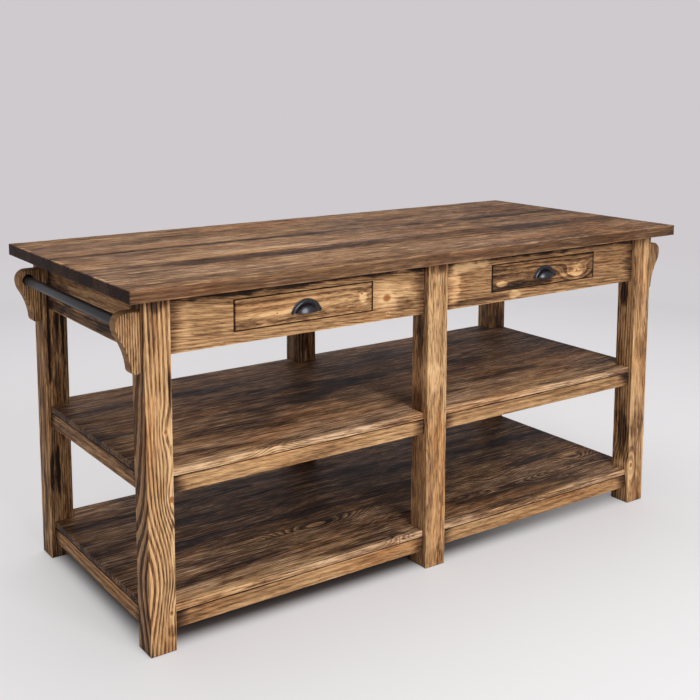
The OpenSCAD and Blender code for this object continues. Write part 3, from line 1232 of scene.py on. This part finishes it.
@dataclass
class Aprons:
    """Boards under the worktop, two of them with an opening for a drawer."""

    opening_w: float = 0.419
    opening_h: float = 0.080
    wood_below: float = 0.030
    overcut: float = 0.010
    eased: float = 0.0012
    worn: float = 0.0006
    tenon: tuple[float, float, float] = (0.020, 0.010, 0.020)

    def build(self) -> None:
        """Builds the front, back, end and middle aprons."""
        long_wood = StainedWood(Run.LONG_BOARD, heart=(0.05, 0.09), ring=0.0070, lean=(0.015, 0.01),
                                tone=0.21, rings=0.12, dashes=0.24, strokes=15.0, hairlines=0.14,
                                streaks=0.05, blotches=0.06, end_stain_and_shade=0.30)
        # edges darkens the walls of the drawer openings: painted shade in the gaps round the drawers.
        left = replace(
            long_wood, seed=11.0, tone=0.25, slant=-0.10, edges=0.75, warmth=0.4,
            knots=(Knot(-0.164, 0.788, 0.0095, 0.6, 0.03, 0.5), Knot(-0.160, 0.745, 0.003, 0.3, 0.01)),
            # Painted shade: the first patch, a band along the top of the apron, is stain and the shade of
            # the worktop's overhang.
            patches=(Patch(-0.42, 0.868, 1.6, 0.040, 0.55),
                     Patch(-0.15, 0.795, 0.18, 0.09, -0.24, ragged=0.8),
                     Patch(-0.77, 0.79, 0.08, 0.12, -0.10), Patch(-0.105, 0.765, 0.07, 0.05, 0.22),
                     Patch(-0.70, 0.775, 0.10, 0.04, 0.12)))
        right = replace(
            long_wood, seed=13.0, tone=0.32, slant=-0.04, edges=0.75,
            # Painted shade: the first patch, a band along the top of the apron, is stain and the shade of
            # the worktop's overhang.
            patches=(Patch(0.42, 0.868, 1.6, 0.036, 0.50), Patch(0.105, 0.848, 0.09, 0.040, -0.45),
                     Patch(0.175, 0.852, 0.05, 0.035, -0.40), Patch(0.060, 0.790, 0.06, 0.11, -0.34),
                     Patch(0.17, 0.742, 0.26, 0.018, 0.25), Patch(0.302, 0.743, 0.05, 0.03, -0.30),
                     Patch(0.70, 0.80, 0.26, 0.12, 0.03)))
        for side, wood in zip(HANDS, (left, right)):
            timber = Timber("front_apron_" + side, wood, self.tenon, eased=self.eased, worn=self.worn)
            timber.build(openings=[self._opening(timber.box())])
            back = replace(long_wood, seed=wood.seed + 4.0, heart=(0.02, -0.08), tone=0.24)
            Timber("back_apron_" + side, back, self.tenon).build()
            end = replace(long_wood, run=Run.SHORT_BOARD, seed=wood.seed + 7.0, tone=0.26, blotches=0.4,
                          patches=(Patch(0.0, 0.745, 0.6, 0.05, 0.30),))
            Timber("end_apron_" + side, end, self.tenon).build()
        middle = replace(long_wood, run=Run.SHORT_BOARD, seed=29.0, tone=0.3)
        Timber("cross_apron", middle, self.tenon).build()

    def _opening(self, box: Box) -> Box:
        """Places the drawer's opening in a front apron.

        Args:
            box: lowest and highest corner of the apron.

        Returns:
            Lowest and highest corner of the opening, which is cut right through.
        """
        lo, hi = box
        middle = (lo.x + hi.x) / 2
        low = Vector((middle - self.opening_w / 2, lo.y - self.overcut, lo.z + self.wood_below))
        high = Vector((middle + self.opening_w / 2, hi.y + self.overcut, low.z + self.opening_h))
        return low, high


@dataclass
class Worktop:
    """The glued worktop, with bands of darker and lighter strips."""

    worn: float = 0.0012

    def build(self) -> None:
        """Builds the worktop."""
        wood = StainedWood(
            Run.PANEL, heart=(0.0, -0.02), ring=0.0060, lean=(0.01, 0.02), wobble=0.02, tone=0.4,
            rings=0.20, dashes=0.18, strokes=18.0, streaks=0.08, scratches=0.38, blotches=0.14,
            end_stain_and_shade=0.05, end_grain=0.30, worn=0.14, cool=0.85, seed=31.0, roughness=0.60,
            sheen=0.08, sides=0.69,
            staves=(Stave(-0.330, 0.41), Stave(-0.235, 0.34), Stave(-0.190, 0.41), Stave(-0.115, 0.52),
                    Stave(-0.045, 0.30), Stave(0.040, 0.39), Stave(0.070, 0.42), Stave(0.110, 0.50),
                    Stave(0.200, 0.36), Stave(0.290, 0.45), Stave(0.360, 0.36), Stave(0.410, 0.42)),
            patches=(Patch(-0.46, -0.155, 0.75, 0.075, 0.18), Patch(-0.45, 0.09, 1.1, 0.022, 0.42),
                     Patch(0.60, 0.07, 0.9, 0.03, 0.25), Patch(0.72, -0.05, 0.9, 0.9, 0.12),
                     Patch(-0.35, 0.0, 0.9, 0.5, -0.05), Patch(0.05, -0.05, 0.6, 0.7, 0.06),
                     Patch(-0.40, -0.066, 0.45, 0.02, -0.2),
                     Patch(-0.80, -0.17, 0.3, 0.03, -0.18), Patch(-0.925, 0.27, 0.024, 0.09, -0.30),
                     Patch(-0.925, 0.03, 0.024, 0.12, -0.25), Patch(-0.925, -0.24, 0.024, 0.10, -0.30)))
        Timber("worktop", wood, worn=self.worn, slot="worktop_wood").build()


@dataclass
class Shelves:
    """Two notched shelf panels and the rails that carry them."""

    notch: float = 0.0005
    overcut: float = 0.010
    eased: float = 0.0028
    worn: float = 0.0014
    tenon: tuple[float, float, float] = (0.020, 0.010, 0.007)

    def build(self) -> None:
        """Builds both panels and all their rails."""
        board = StainedWood(Run.PANEL, heart=(0.0, -0.03), ring=0.0058, lean=(0.01, 0.02), wobble=0.02,
                            rings=0.14, ridges=0.08, dashes=0.22, strokes=16.0, streaks=0.18,
                            scratches=0.36, hairlines=0.16, blotches=0.32, end_stain_and_shade=0.1,
                            end_grain=0.10, worn=0.12, cool=0.80, roughness=0.55, slant=0.02)
        # The stave tones darken from the front of each panel to its back: partly the strips' own tone,
        # partly painted shade under what lies above.
        panels = {
            "middle_shelf": replace(
                board, seed=41.0,
                staves=(Stave(-0.335, 0.10), Stave(-0.292, 0.20), Stave(-0.215, 0.28), Stave(-0.120, 0.37),
                        Stave(-0.020, 0.46), Stave(0.070, 0.51), Stave(0.160, 0.43), Stave(0.250, 0.48),
                        Stave(0.353, 0.42)),
                knots=(Knot(-0.507, -0.345, 0.005, 4.0, 0.06, 0.5),),
                patches=(Patch(-0.10, -0.25, 0.5, 0.10, -0.10), Patch(-0.72, 0.05, 0.40, 0.80, -0.08),
                         self._seam("middle_shelf"))),
            "lower_shelf": replace(
                board, ring=0.0066, seed=47.0,
                staves=(Stave(-0.335, 0.13), Stave(-0.275, 0.27), Stave(-0.130, 0.45), Stave(-0.010, 0.56),
                        Stave(0.100, 0.57), Stave(0.200, 0.50), Stave(0.280, 0.53), Stave(0.353, 0.46)),
                knots=(Knot(-0.20, -0.170, 0.002, 9.0, 0.15), Knot(-0.34, -0.165, 0.002, 6.0, 0.12),
                       Knot(0.75, -0.194, 0.004, 8.0, 0.11, 0.9), Knot(0.40, -0.194, 0.002, 8.0, 0.16),
                       Knot(0.61, -0.282, 0.004, 3.0, 0.05, 0.4),
                       Knot(-0.117, -0.350, 0.003, 3.0, 0.04, 0.8)),
                patches=(Patch(0.55, -0.10, 0.7, 0.30, -0.12), Patch(-0.35, -0.305, 0.4, 0.05, -0.10),
                         Patch(-0.78, 0.02, 0.36, 0.90, -0.18), Patch(0.42, -0.33, 0.84, 0.16, 0.14),
                         self._seam("lower_shelf"))),
        }
        for level, wood in panels.items():
            panel = Timber(level, wood, eased=self.eased, worn=self.worn, slot="shelf_wood")
            panel.build(openings=self._notches(level))
            self._rails(level, wood.seed)

    @staticmethod
    def _seam(level: str) -> Patch:
        """The dark line between the panel and its rails."""
        return Patch(0.0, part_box(level)[0].z, 8.0, 0.0035, 0.10, True)

    def _notches(self, level: str) -> list[Box]:
        """Places the notches that clear the legs.

        Args:
            level: the panel's node.

        Returns:
            A box round each leg, as high as the panel and a little more.
        """
        lo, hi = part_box(level)
        gap = Vector((self.notch, self.notch, 0.0))
        cuts = []
        for row in ROWS:
            for column in COLUMNS:
                low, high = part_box(f"leg_{row}_{column}")
                low.z, high.z = lo.z - self.overcut, hi.z + self.overcut
                cuts.append((low - gap, high + gap))
        return cuts

    def _rails(self, level: str, seed: float) -> None:
        """Builds the rails under one panel.

        Args:
            level: the panel's node.
            seed: the panel's seed, from which the rails count on.
        """
        rail = StainedWood(Run.LONG_BOARD, heart=(-0.03, 0.05), ring=0.0066, tone=0.12, rings=0.12,
                           dashes=0.17, strokes=20.0, hairlines=0.10, streaks=0.06, blotches=0.20,
                           end_stain_and_shade=0.42, worn=0.04, slant=-0.05,
                           patches=(Patch(0.0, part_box(level)[0].z, 8.0, 0.004, 0.40),))
        for number, side in enumerate(HANDS):
            for row in ROWS:
                tone, shift = (0.18 + 0.05 * number, 1.0) if row == "front" else (0.30, 9.0)
                wood = replace(rail, seed=seed + 3.0 * number + shift, tone=tone)
                Timber(f"{level}_{row}_rail_{side}", wood, self.tenon).build()
            wood = replace(rail, run=Run.SHORT_BOARD, seed=seed + 5.0 * number + 15.0, tone=0.34,
                           blotches=0.35)
            Timber(f"{level}_end_rail_{side}", wood, self.tenon).build()
        cross = replace(rail, run=Run.SHORT_BOARD, seed=seed + 27.0, tone=0.4)
        Timber(f"{level}_cross_rail", cross, self.tenon).build()


@dataclass
class Bracket:
    """A scrolled bracket, drawn by arcs that touch one another, with a blind socket for the towel bar.

    The tip's centre stands off the leg by tip_in times its radius, so that the curl dies into the leg.
    """

    height: float = 0.149
    head_r: float = 0.028
    belly_r: float = 0.060
    waist_r: float = 0.170
    tip_r: float = 0.014
    tip_in: float = 0.75
    socket_r: float = 0.016
    socket_depth: float = 0.024
    eased: float = 0.0022

    def build(self) -> None:
        """Builds one bracket and the other three from it."""
        lo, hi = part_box("bracket_back_right")
        first = self._carve(lo, hi)
        for number, (row, side) in enumerate((row, side) for row in Row for side in Side):
            node = f"bracket_{row.name.lower()}_{side.name.lower()}"
            piece = copy_of(first, "wood_" + node)
            self._mirror(piece, side, row)
            wood = StainedWood(Run.POST, heart=(0.12, 0.0), ring=0.0062, late=0.5, lean=(0.0, 0.0),
                               wobble=0.003, tone=0.16, rings=0.36, dashes=0.12, streaks=0.10,
                               blotches=0.15, end_stain_and_shade=0.1, end_grain=0.1, edges=0.50, worn=0.04,
                               seed=61.0 + number)
            settle(piece, "frame", [node], wood.material("wood_" + node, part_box(node)))
        bpy.data.objects.remove(first, do_unlink=True)

    def _carve(self, lo: Vector, hi: Vector) -> bpy.types.Object:
        """Models the bracket on the back right leg.

        Args:
            lo: lowest corner of its node.
            hi: highest corner.

        Returns:
            The bracket, without a finish.
        """
        head = Vector((hi.x - self.head_r, hi.z - self.head_r))
        belly = Vector((hi.x - self.belly_r, head.y))
        tip = Vector((lo.x + self.tip_in * self.tip_r, hi.z - self.height + self.tip_r))
        waist = touching(belly, self.belly_r + self.waist_r, tip, self.tip_r + self.waist_r)
        belly_turn = heading(belly, waist)
        tip_turn = heading(tip, waist)
        heel_turn = math.acos(-self.tip_in)
        outline = [Vector((lo.x, hi.z))]
        outline += arc(head, self.head_r, math.pi / 2, 0.0, steps=10)
        outline += arc(belly, self.belly_r, 0.0, belly_turn, steps=8)[1:]
        outline += arc(waist, self.waist_r, math.pi + belly_turn, math.pi + tip_turn, steps=10)[1:]
        outline += arc(tip, self.tip_r, tip_turn, -heel_turn, steps=10)[1:]
        piece = sketch("bracket", [(p.x, lo.y, p.y) for p in outline], [], [range(len(outline))])
        with editing(piece):
            bpy.ops.mesh.extrude_region_move(TRANSFORM_OT_translate={"value": (0.0, hi.y - lo.y, 0.0)})
        face_out(piece)
        ease(piece, self.eased, 3, lambda edge: is_arris(edge) and self._is_outline(edge, lo, hi))
        mouth = Vector((head.x, lo.y, head.y))
        boolean(piece, rod("tool", self.socket_r, 2 * self.socket_depth, mouth, sides=48))
        smooth(piece)
        return piece

    @staticmethod
    def _is_outline(edge: bmesh.types.BMEdge, lo: Vector, hi: Vector) -> bool:
        """Tells the edges of the outline from all others.

        Args:
            edge: the edge.
            lo: lowest corner of the bracket.
            hi: highest corner.

        Returns:
            Whether it lies in one of the two flat faces and off the leg.
        """
        ends = [vertex.co for vertex in edge.verts]
        flat = any(all(abs(p.y - face) < NEAR for p in ends) for face in (lo.y, hi.y))
        return flat and not all(abs(p.x - lo.x) < NEAR for p in ends)

    @staticmethod
    def _mirror(piece: bpy.types.Object, side: Side, row: Row) -> None:
        """Mirrors a piece to another corner and turns its faces out again.

        Args:
            piece: the object.
            side: the end of the island.
            row: the row of legs.
        """
        pick(piece)
        piece.scale = (side.value, row.value, 1.0)
        fix_place()
        face_out(piece)


def touching(first: Vector, reach_first: float, second: Vector, reach_second: float) -> Vector:
    """The point at given distances from two points, on the right when looking from first to second.

    Args:
        first: one point in a plane.
        reach_first: distance from it.
        second: the other point.
        reach_second: distance from that.

    Returns:
        The point.
    """
    gap = (second - first).length
    way = (second - first) / gap
    foot = (reach_first ** 2 - reach_second ** 2 + gap ** 2) / (2 * gap)
    aside = math.sqrt(reach_first ** 2 - foot ** 2)
    return first + way * foot + Vector((-way.y, way.x)) * aside


def heading(start: Vector, end: Vector) -> float:
    """Angle of the way from one point to another in a plane."""
    return math.atan2(end.y - start.y, end.x - start.x)


def arc(centre: Vector, radius: float, start: float, end: float, steps: int) -> list[Vector]:
    """Points along an arc, both ends included.

    Args:
        centre: the arc's centre in a plane.
        radius: its radius.
        start: first angle in radians.
        end: last angle.
        steps: number of stretches.

    Returns:
        The points.
    """
    angles = (start + (end - start) * i / steps for i in range(steps + 1))
    return [centre + radius * Vector((math.cos(a), math.sin(a))) for a in angles]


@dataclass
class TowelBar:
    """A steel tube that lies in the sockets of two brackets."""

    wall: float = 0.002
    eased: float = 0.0008
    sides: int = 64
    metal: MottledMetal = MottledMetal((0.022, 0.024, 0.028), (0.060, 0.062, 0.066), 0.46, 0.3)

    def build(self, side: Side) -> None:
        """Builds the bar of one side.

        Args:
            side: the end of the island.
        """
        node = "towel_bar_" + side.name.lower()
        lo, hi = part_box(node)
        piece = rod("metal_" + node, (hi.z - lo.z) / 2, hi.y - lo.y, (lo + hi) / 2, self.sides)
        ease(piece, self.eased, 2)
        with editing(piece):
            select(piece, Part.FACE, lambda face: len(face.verts) == self.sides)
            bpy.ops.mesh.inset(thickness=self.wall - self.eased, use_individual=True)
            bpy.ops.mesh.bridge_edge_loops()
        smooth(piece, 40.0)
        settle(piece, node, [node], self.metal.material(piece.name))


@dataclass
class CupPull:
    """A dark cup pull: a dome in a round flange that ends in two ears.

    The lip is the height of its opening over the foot, and the roll is the turned edge round that opening.
    The sweep rises from the flange to the dome: distances from the dome, and heights in flange thicknesses.
    """

    width: float = 0.092
    height: float = 0.038
    depth: float = 0.022
    lip: float = 0.004
    roll: float = 0.0012
    flange_w: float = 0.010
    flange_t: float = 0.002
    wall: float = 0.0018
    ear_eased: float = 0.0007
    boss_gap: float = 0.044
    boss_z: float = 0.010
    boss_r: float = 0.004
    boss_h: float = 0.007
    eased: float = 0.0005
    flare: Point = (1.03, 1.06, 1.0)
    dome_steps: int = 20
    turn_steps: int = 96
    sweep: Section = ((0.0035, 1.0), (0.0018, 1.25), (0.0004, 2.0))
    metal: MottledMetal = MottledMetal((0.050, 0.052, 0.060), (0.10, 0.10, 0.11), 0.30, 0.9, 220.0)

    def build(self) -> None:
        """Builds the pull of the left drawer, and the right one from it."""
        lo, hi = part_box("left_drawer_pull")
        first = self._shape(Vector(((lo.x + hi.x) / 2, hi.y, lo.z)))
        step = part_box("right_drawer_pull")[0] - lo
        for side, shift in ((Side.LEFT, Vector()), (Side.RIGHT, step)):
            body = side.name.lower() + "_drawer"
            node = body + "_pull"
            piece = copy_of(first, "metal_" + node)
            pick(piece)
            bpy.ops.transform.translate(value=shift)
            fix_place()
            settle(piece, body, [node], self.metal.material(piece.name))
        bpy.data.objects.remove(first, do_unlink=True)

    def _shape(self, foot: Vector) -> bpy.types.Object:
        """Models the pull.

        Args:
            foot: middle of its lower edge on the drawer's face.

        Returns:
            The pull, without a finish.
        """
        ear = self.flange_w / 2
        arch = self.height - ear
        flange_r = (self.width ** 2 / 4 + arch ** 2) / (2 * arch)
        axis = foot + Vector((0.0, 0.0, self.height - flange_r))
        dome_r = flange_r - self.flange_w
        cup = self._spun("cup", axis, self._cup_profile(dome_r), foot.z + self.lip + self.roll)
        self._flare(cup, foot)
        band = self._spun("band", axis, self._band_profile(dome_r, flange_r), foot.z + ear)
        parts = [cup, band]
        for sign in (-1, 1):
            centre = foot + Vector((sign * (self.width / 2 - ear), -self.flange_t / 2, ear))
            parts.append(rod("ear", ear, self.flange_t, centre, sides=32))
            ease(parts[-1], self.ear_eased, 2)
        for sign in (-1, 1):
            centre = foot + Vector((sign * self.boss_gap / 2, -self.boss_h / 2, self.boss_z))
            parts.append(rod("boss", self.boss_r, self.boss_h, centre, sides=24))
            ease(parts[-1], self.eased, 2)
        deselect()
        for part in parts:
            part.select_set(True)
        bpy.context.view_layer.objects.active = cup
        bpy.ops.object.join()
        smooth(cup, 40.0)
        return cup

    def _cup_profile(self, dome_r: float) -> Section:
        """Draws the section of the dome, outside and then back along the inside.

        Args:
            dome_r: its outer radius at the drawer.

        Returns:
            Distances from the axis and heights over the drawer.
        """
        inner_r, inner_depth = dome_r - self.wall, self.depth - self.wall
        outside = [(dome_r * math.cos(a), self.depth * math.sin(a)) for a in quarter(self.dome_steps)]
        inside = [(inner_r * math.cos(a), inner_depth * math.sin(a)) for a in quarter(self.dome_steps)]
        return outside + inside[::-1]

    def _band_profile(self, dome_r: float, flange_r: float) -> Section:
        """Draws the section of the flange: flat, with a rounded rim and a sweep up to the dome.

        Args:
            dome_r: outer radius of the dome.
            flange_r: outer radius of the flange.

        Returns:
            Distances from the axis and heights over the drawer.
        """
        t = self.flange_t
        rim = [(flange_r - t / 2 + t / 2 * math.cos(a), t / 2 + t / 2 * math.sin(a))
               for a in (math.radians(d) for d in range(-90, 91, 30))]
        rise = [(dome_r + out, t * up) for out, up in self.sweep]
        return [(dome_r - self.wall, 0.0)] + rim + rise + [(dome_r - self.wall, rise[-1][1])]

    def _spun(self, name: str, axis: Vector, profile: Section, cut: float) -> bpy.types.Object:
        """Turns a section about the pull's axis and cuts it level.

        Args:
            name: name of the object.
            axis: point on the axis, which runs along Y.
            profile: distances from the axis and heights over the drawer, a closed section.
            cut: height below which the ring is cut away.

        Returns:
            The closed shape.
        """
        points = [(axis.x + r, axis.y - h, axis.z) for r, h in profile]
        edges = [(i, (i + 1) % len(points)) for i in range(len(points))]
        piece = sketch(name, points, edges, [])
        with editing(piece):
            bpy.ops.mesh.spin(steps=self.turn_steps, angle=2 * math.pi, center=axis, axis=(0.0, 1.0, 0.0))
            bpy.ops.mesh.select_all(action="SELECT")
            bpy.ops.mesh.remove_doubles(threshold=NEAR / 10)
            bpy.ops.mesh.select_all(action="SELECT")
            bpy.ops.mesh.bisect(plane_co=(axis.x, axis.y, cut), plane_no=(0.0, 0.0, 1.0),
                                clear_inner=True, use_fill=True)
        face_out(piece)
        return piece

    def _flare(self, cup: bpy.types.Object, foot: Vector) -> None:
        """Turns the cup's lower edge outwards into a small rolled lip.

        Args:
            cup: the dome, cut level.
            foot: middle of the pull's lower edge on the drawer's face.
        """
        edge = foot.z + self.lip + self.roll
        middle = (foot.x, foot.y, edge)
        with editing(cup):
            select(cup, Part.FACE,
                   lambda face: face.normal.z < -0.99 and abs(face.calc_center_median().z - edge) < NEAR)
            bpy.ops.mesh.extrude_region_move(TRANSFORM_OT_translate={"value": (0.0, 0.0, -self.roll)})
            bpy.ops.transform.resize(value=self.flare, center_override=middle)
        ease(cup, self.eased, 2,
             lambda line: is_arris(line) and all(vertex.co.z < edge - NEAR for vertex in line.verts))


def quarter(steps: int) -> list[float]:
    """Angles from 0 to a quarter turn."""
    return [math.pi / 2 * i / steps for i in range(steps + 1)]


@dataclass
class Drawers:
    """Two drawers: stained fronts, and boxes of plain wood behind them."""

    eased: float = 0.0012
    worn: float = 0.0006

    def build(self) -> None:
        """Builds the fronts and dresses the boxes."""
        # edges darkens the narrow faces of the drawer fronts: painted shade in the gaps round them.
        wood = StainedWood(Run.LONG_BOARD, heart=(-0.03, 0.07), ring=0.0085, lean=(0.02, 0.01),
                           tone=0.15, rings=0.22, dashes=0.20, streaks=0.10, blotches=0.06,
                           end_stain_and_shade=0.10, edges=0.8, worn=0.02, warmth=0.4)
        left = replace(
            wood, seed=71.0,
            knots=(Knot(-0.246, 0.810, 0.0032, 0.8, 0.025, 0.2),
                   Knot(-0.505, 0.790, 0.0022, 0.3, 0.01, 0.5)),
            patches=(Patch(-0.242, 0.800, 0.028, 0.032, -0.40, ragged=0.3),
                     Patch(-0.50, 0.791, 0.14, 0.014, -0.25), Patch(-0.56, 0.826, 0.20, 0.016, 0.20),
                     Patch(-0.42, 0.770, 0.30, 0.010, 0.20)))
        right = replace(
            wood, seed=73.0, tone=0.42, ring=0.0068, rings=0.22,
            knots=(Knot(0.555, 0.788, 0.0042, 2.8, 0.065, 0.4, 0.6),),
            patches=(Patch(0.555, 0.788, 0.056, 0.050, -0.55, ragged=0.2),
                     Patch(0.490, 0.782, 0.09, 0.014, -0.35), Patch(0.610, 0.805, 0.04, 0.020, -0.15),
                     Patch(0.38, 0.775, 0.26, 0.026, 0.16), Patch(0.250, 0.779, 0.045, 0.020, -0.50),
                     Patch(0.30, 0.765, 0.20, 0.012, 0.20)))
        inner = PlainWood(Run.LONG_BOARD, 81.0).material("plain_wood_across")
        runs = PlainWood(Run.SHORT_BOARD, 83.0).material("plain_wood_lengthways")
        floor = PlainWood(Run.PANEL, 85.0).material("plain_wood_panel")
        zinc = MottledMetal((0.45, 0.46, 0.48), (0.62, 0.62, 0.62), 0.35, 1.0, 900.0)
        screw = zinc.material("screw_steel")
        for side, front in zip(HANDS, (left, right)):
            body = side + "_drawer"
            Timber(f"{side}_drawer_front", front, eased=self.eased, worn=self.worn, body=body).build()
            dress_node(f"{side}_drawer_back", inner)
            dress_node(f"{side}_drawer_bottom", floor)
            dress_node(f"{side}_drawer_pull_screws", screw)
            for hand in HANDS:
                dress_node(f"{side}_drawer_{hand}_side", runs)
                dress_node(f"{side}_bay_{hand}_runner", runs)
            dress_node(f"{side}_bay_kicker", runs)
        dress_node("stop_blocks", inner)
        dress_node("bracket_dowels", inner)
        dress_node("worktop_screws", screw)


@dataclass(frozen=True)
class Lamp:
    """A soft square lamp that looks at a target."""

    name: str
    place: Point
    target: Point
    size: float
    power: float

    def build(self) -> None:
        """Hangs the lamp."""
        data = bpy.data.lights.new(self.name, "AREA")
        data.shape = "SQUARE"
        data.size = self.size
        data.energy = self.power
        lamp = bpy.data.objects.new(self.name, data)
        lamp.location = self.place
        aim = Vector(self.target) - Vector(self.place)
        lamp.rotation_euler = aim.to_track_quat("-Z", "Y").to_euler()
        bpy.context.scene.collection.objects.link(lamp)


@dataclass
class Studio:
    """A pale floor, soft light and the photograph's camera.

    Attributes:
        eye: place of the camera.
        yaw: how far it is turned to the right, in radians.
        pitch: how far it is tilted up.
        focal_px: focal length in pixels of the photograph.
        principal_px: its optical centre, from the left and from the top.
        image_px: side of the photograph.
        sensor_mm: side of the camera's sensor.
        island: half the length and half the depth of the floor that the island shades.
        backdrop: colour of the background.
        sky: colour of the light from all round.
        around: strength of that light.
        floor_r: radius of the floor.
        floor_dull: colour of the floor's duller places.
        floor_pale: colour of its paler places.
        floor_shade: colour under the island.
        floor_glow: colour of the glow that keeps the floor pale.
        glow_near: share of the glow near the island.
        haze: distances between which the floor fades to the background.
        lamps: the lamps.
    """

    eye: Point = (-1.90234, -2.63313, 1.38770)
    yaw: float = 0.60364
    pitch: float = -0.13536
    focal_px: float = 1101.06
    principal_px: tuple[float, float] = (336.29, 220.0)
    image_px: float = 700.0
    sensor_mm: float = 36.0
    island: tuple[float, float] = (0.87, 0.35)
    backdrop: Colour = (0.62, 0.59, 0.615)
    sky: Colour = (0.93, 0.95, 1.0)
    around: float = 0.34
    floor_r: float = 60.0
    floor_dull: Colour = (0.84, 0.82, 0.825)
    floor_pale: Colour = (0.90, 0.88, 0.885)
    floor_shade: Colour = (0.10, 0.07, 0.06)
    floor_glow: Colour = (0.97, 0.95, 0.95)
    glow_near: float = 0.40
    haze: tuple[float, float] = (1.8, 6.0)
    lamps: tuple[Lamp, ...] = (
        Lamp("key", (-0.3, -4.4, 3.0), (0.1, 0.0, 0.55), 2.2, 140.0),
        Lamp("fill", (-4.2, -1.6, 2.4), (0.0, 0.0, 0.5), 3.0, 12.0),
        Lamp("above", (0.0, 0.8, 4.2), (0.0, 0.0, 0.5), 3.0, 60.0))

    def build(self) -> None:
        """Makes the floor, the lamps, the world and the camera."""
        self._floor()
        for lamp in self.lamps:
            lamp.build()
        self._world()
        self._camera()
        bpy.context.scene.view_settings.view_transform = "Standard"

    def _floor(self) -> None:
        """A pale painted floor, dark where the lower shelf keeps the light off."""
        deselect()
        bpy.ops.mesh.primitive_circle_add(vertices=96, radius=self.floor_r, fill_type="NGON")
        floor = bpy.context.object
        floor.name = "floor"
        g = Graph(bpy.data.materials.new("pale_floor"))
        cloud = g.noise(g.place(), (1.3, 1.3, 1.3), 4.0, 3.0)
        x, y, _ = g.split(g.place())
        outside = g.math("MAXIMUM", abs(x) - self.island[0], abs(y) - self.island[1])
        under = g.smooth(outside, 0.02, -0.06) * (g.smooth(x, 0.8, -0.1) * 0.45 + 0.55)
        colour = g.mix(cloud, self.floor_dull, self.floor_pale)
        colour = g.mix(under * 0.9, colour, self.floor_shade)
        g.finish({"Base Color": colour}, {"Roughness": 0.55})
        far = g.smooth(g.math("SQRT", x * x + y * y), *self.haze)
        tint = g.mix(far, self.floor_glow, self.backdrop)
        glow = g.node("ShaderNodeEmission", {}, {"Color": tint})
        share = g.math("MAXIMUM", far, self.glow_near) - under * self.glow_near
        g.fade(share * g.seen(), glow)
        floor.data.materials.append(g.owner)

    def _world(self) -> None:
        """A pale backdrop to the camera and to reflections, and a softer light from all round."""
        world = bpy.data.worlds.new("studio")
        bpy.context.scene.world = world
        g = Graph(world)
        soft = g.node("ShaderNodeBackground", {}, {"Color": (*self.sky, 1.0), "Strength": self.around})
        pale = g.node("ShaderNodeBackground", {}, {"Color": (*self.backdrop, 1.0), "Strength": 1.0})
        mixed = g.node("ShaderNodeMixShader", {}, {0: g.seen(), 1: g.out(soft), 2: g.out(pale)})
        g.node("ShaderNodeOutputWorld", {}, {0: g.out(mixed)})

    def _camera(self) -> None:
        """Sets the camera where the photograph was taken."""
        data = bpy.data.cameras.new("camera")
        data.sensor_width = self.sensor_mm
        data.lens = self.focal_px * self.sensor_mm / self.image_px
        data.shift_x = (self.image_px / 2 - self.principal_px[0]) / self.image_px
        data.shift_y = (self.principal_px[1] - self.image_px / 2) / self.image_px
        camera = bpy.data.objects.new("camera", data)
        camera.location = self.eye
        camera.rotation_euler = (math.pi / 2 + self.pitch, 0.0, -self.yaw)
        bpy.context.scene.collection.objects.link(camera)
        bpy.context.scene.camera = camera


def main() -> None:
    """Builds the island and the studio."""
    logging.basicConfig(level=logging.INFO, format="%(message)s")
    Legs().build()
    Aprons().build()
    Worktop().build()
    Shelves().build()
    Bracket().build()
    for side in Side:
        TowelBar().build(side)
    Drawers().build()
    CupPull().build()
    Studio().build()


if __name__ == "__main__":
    main()
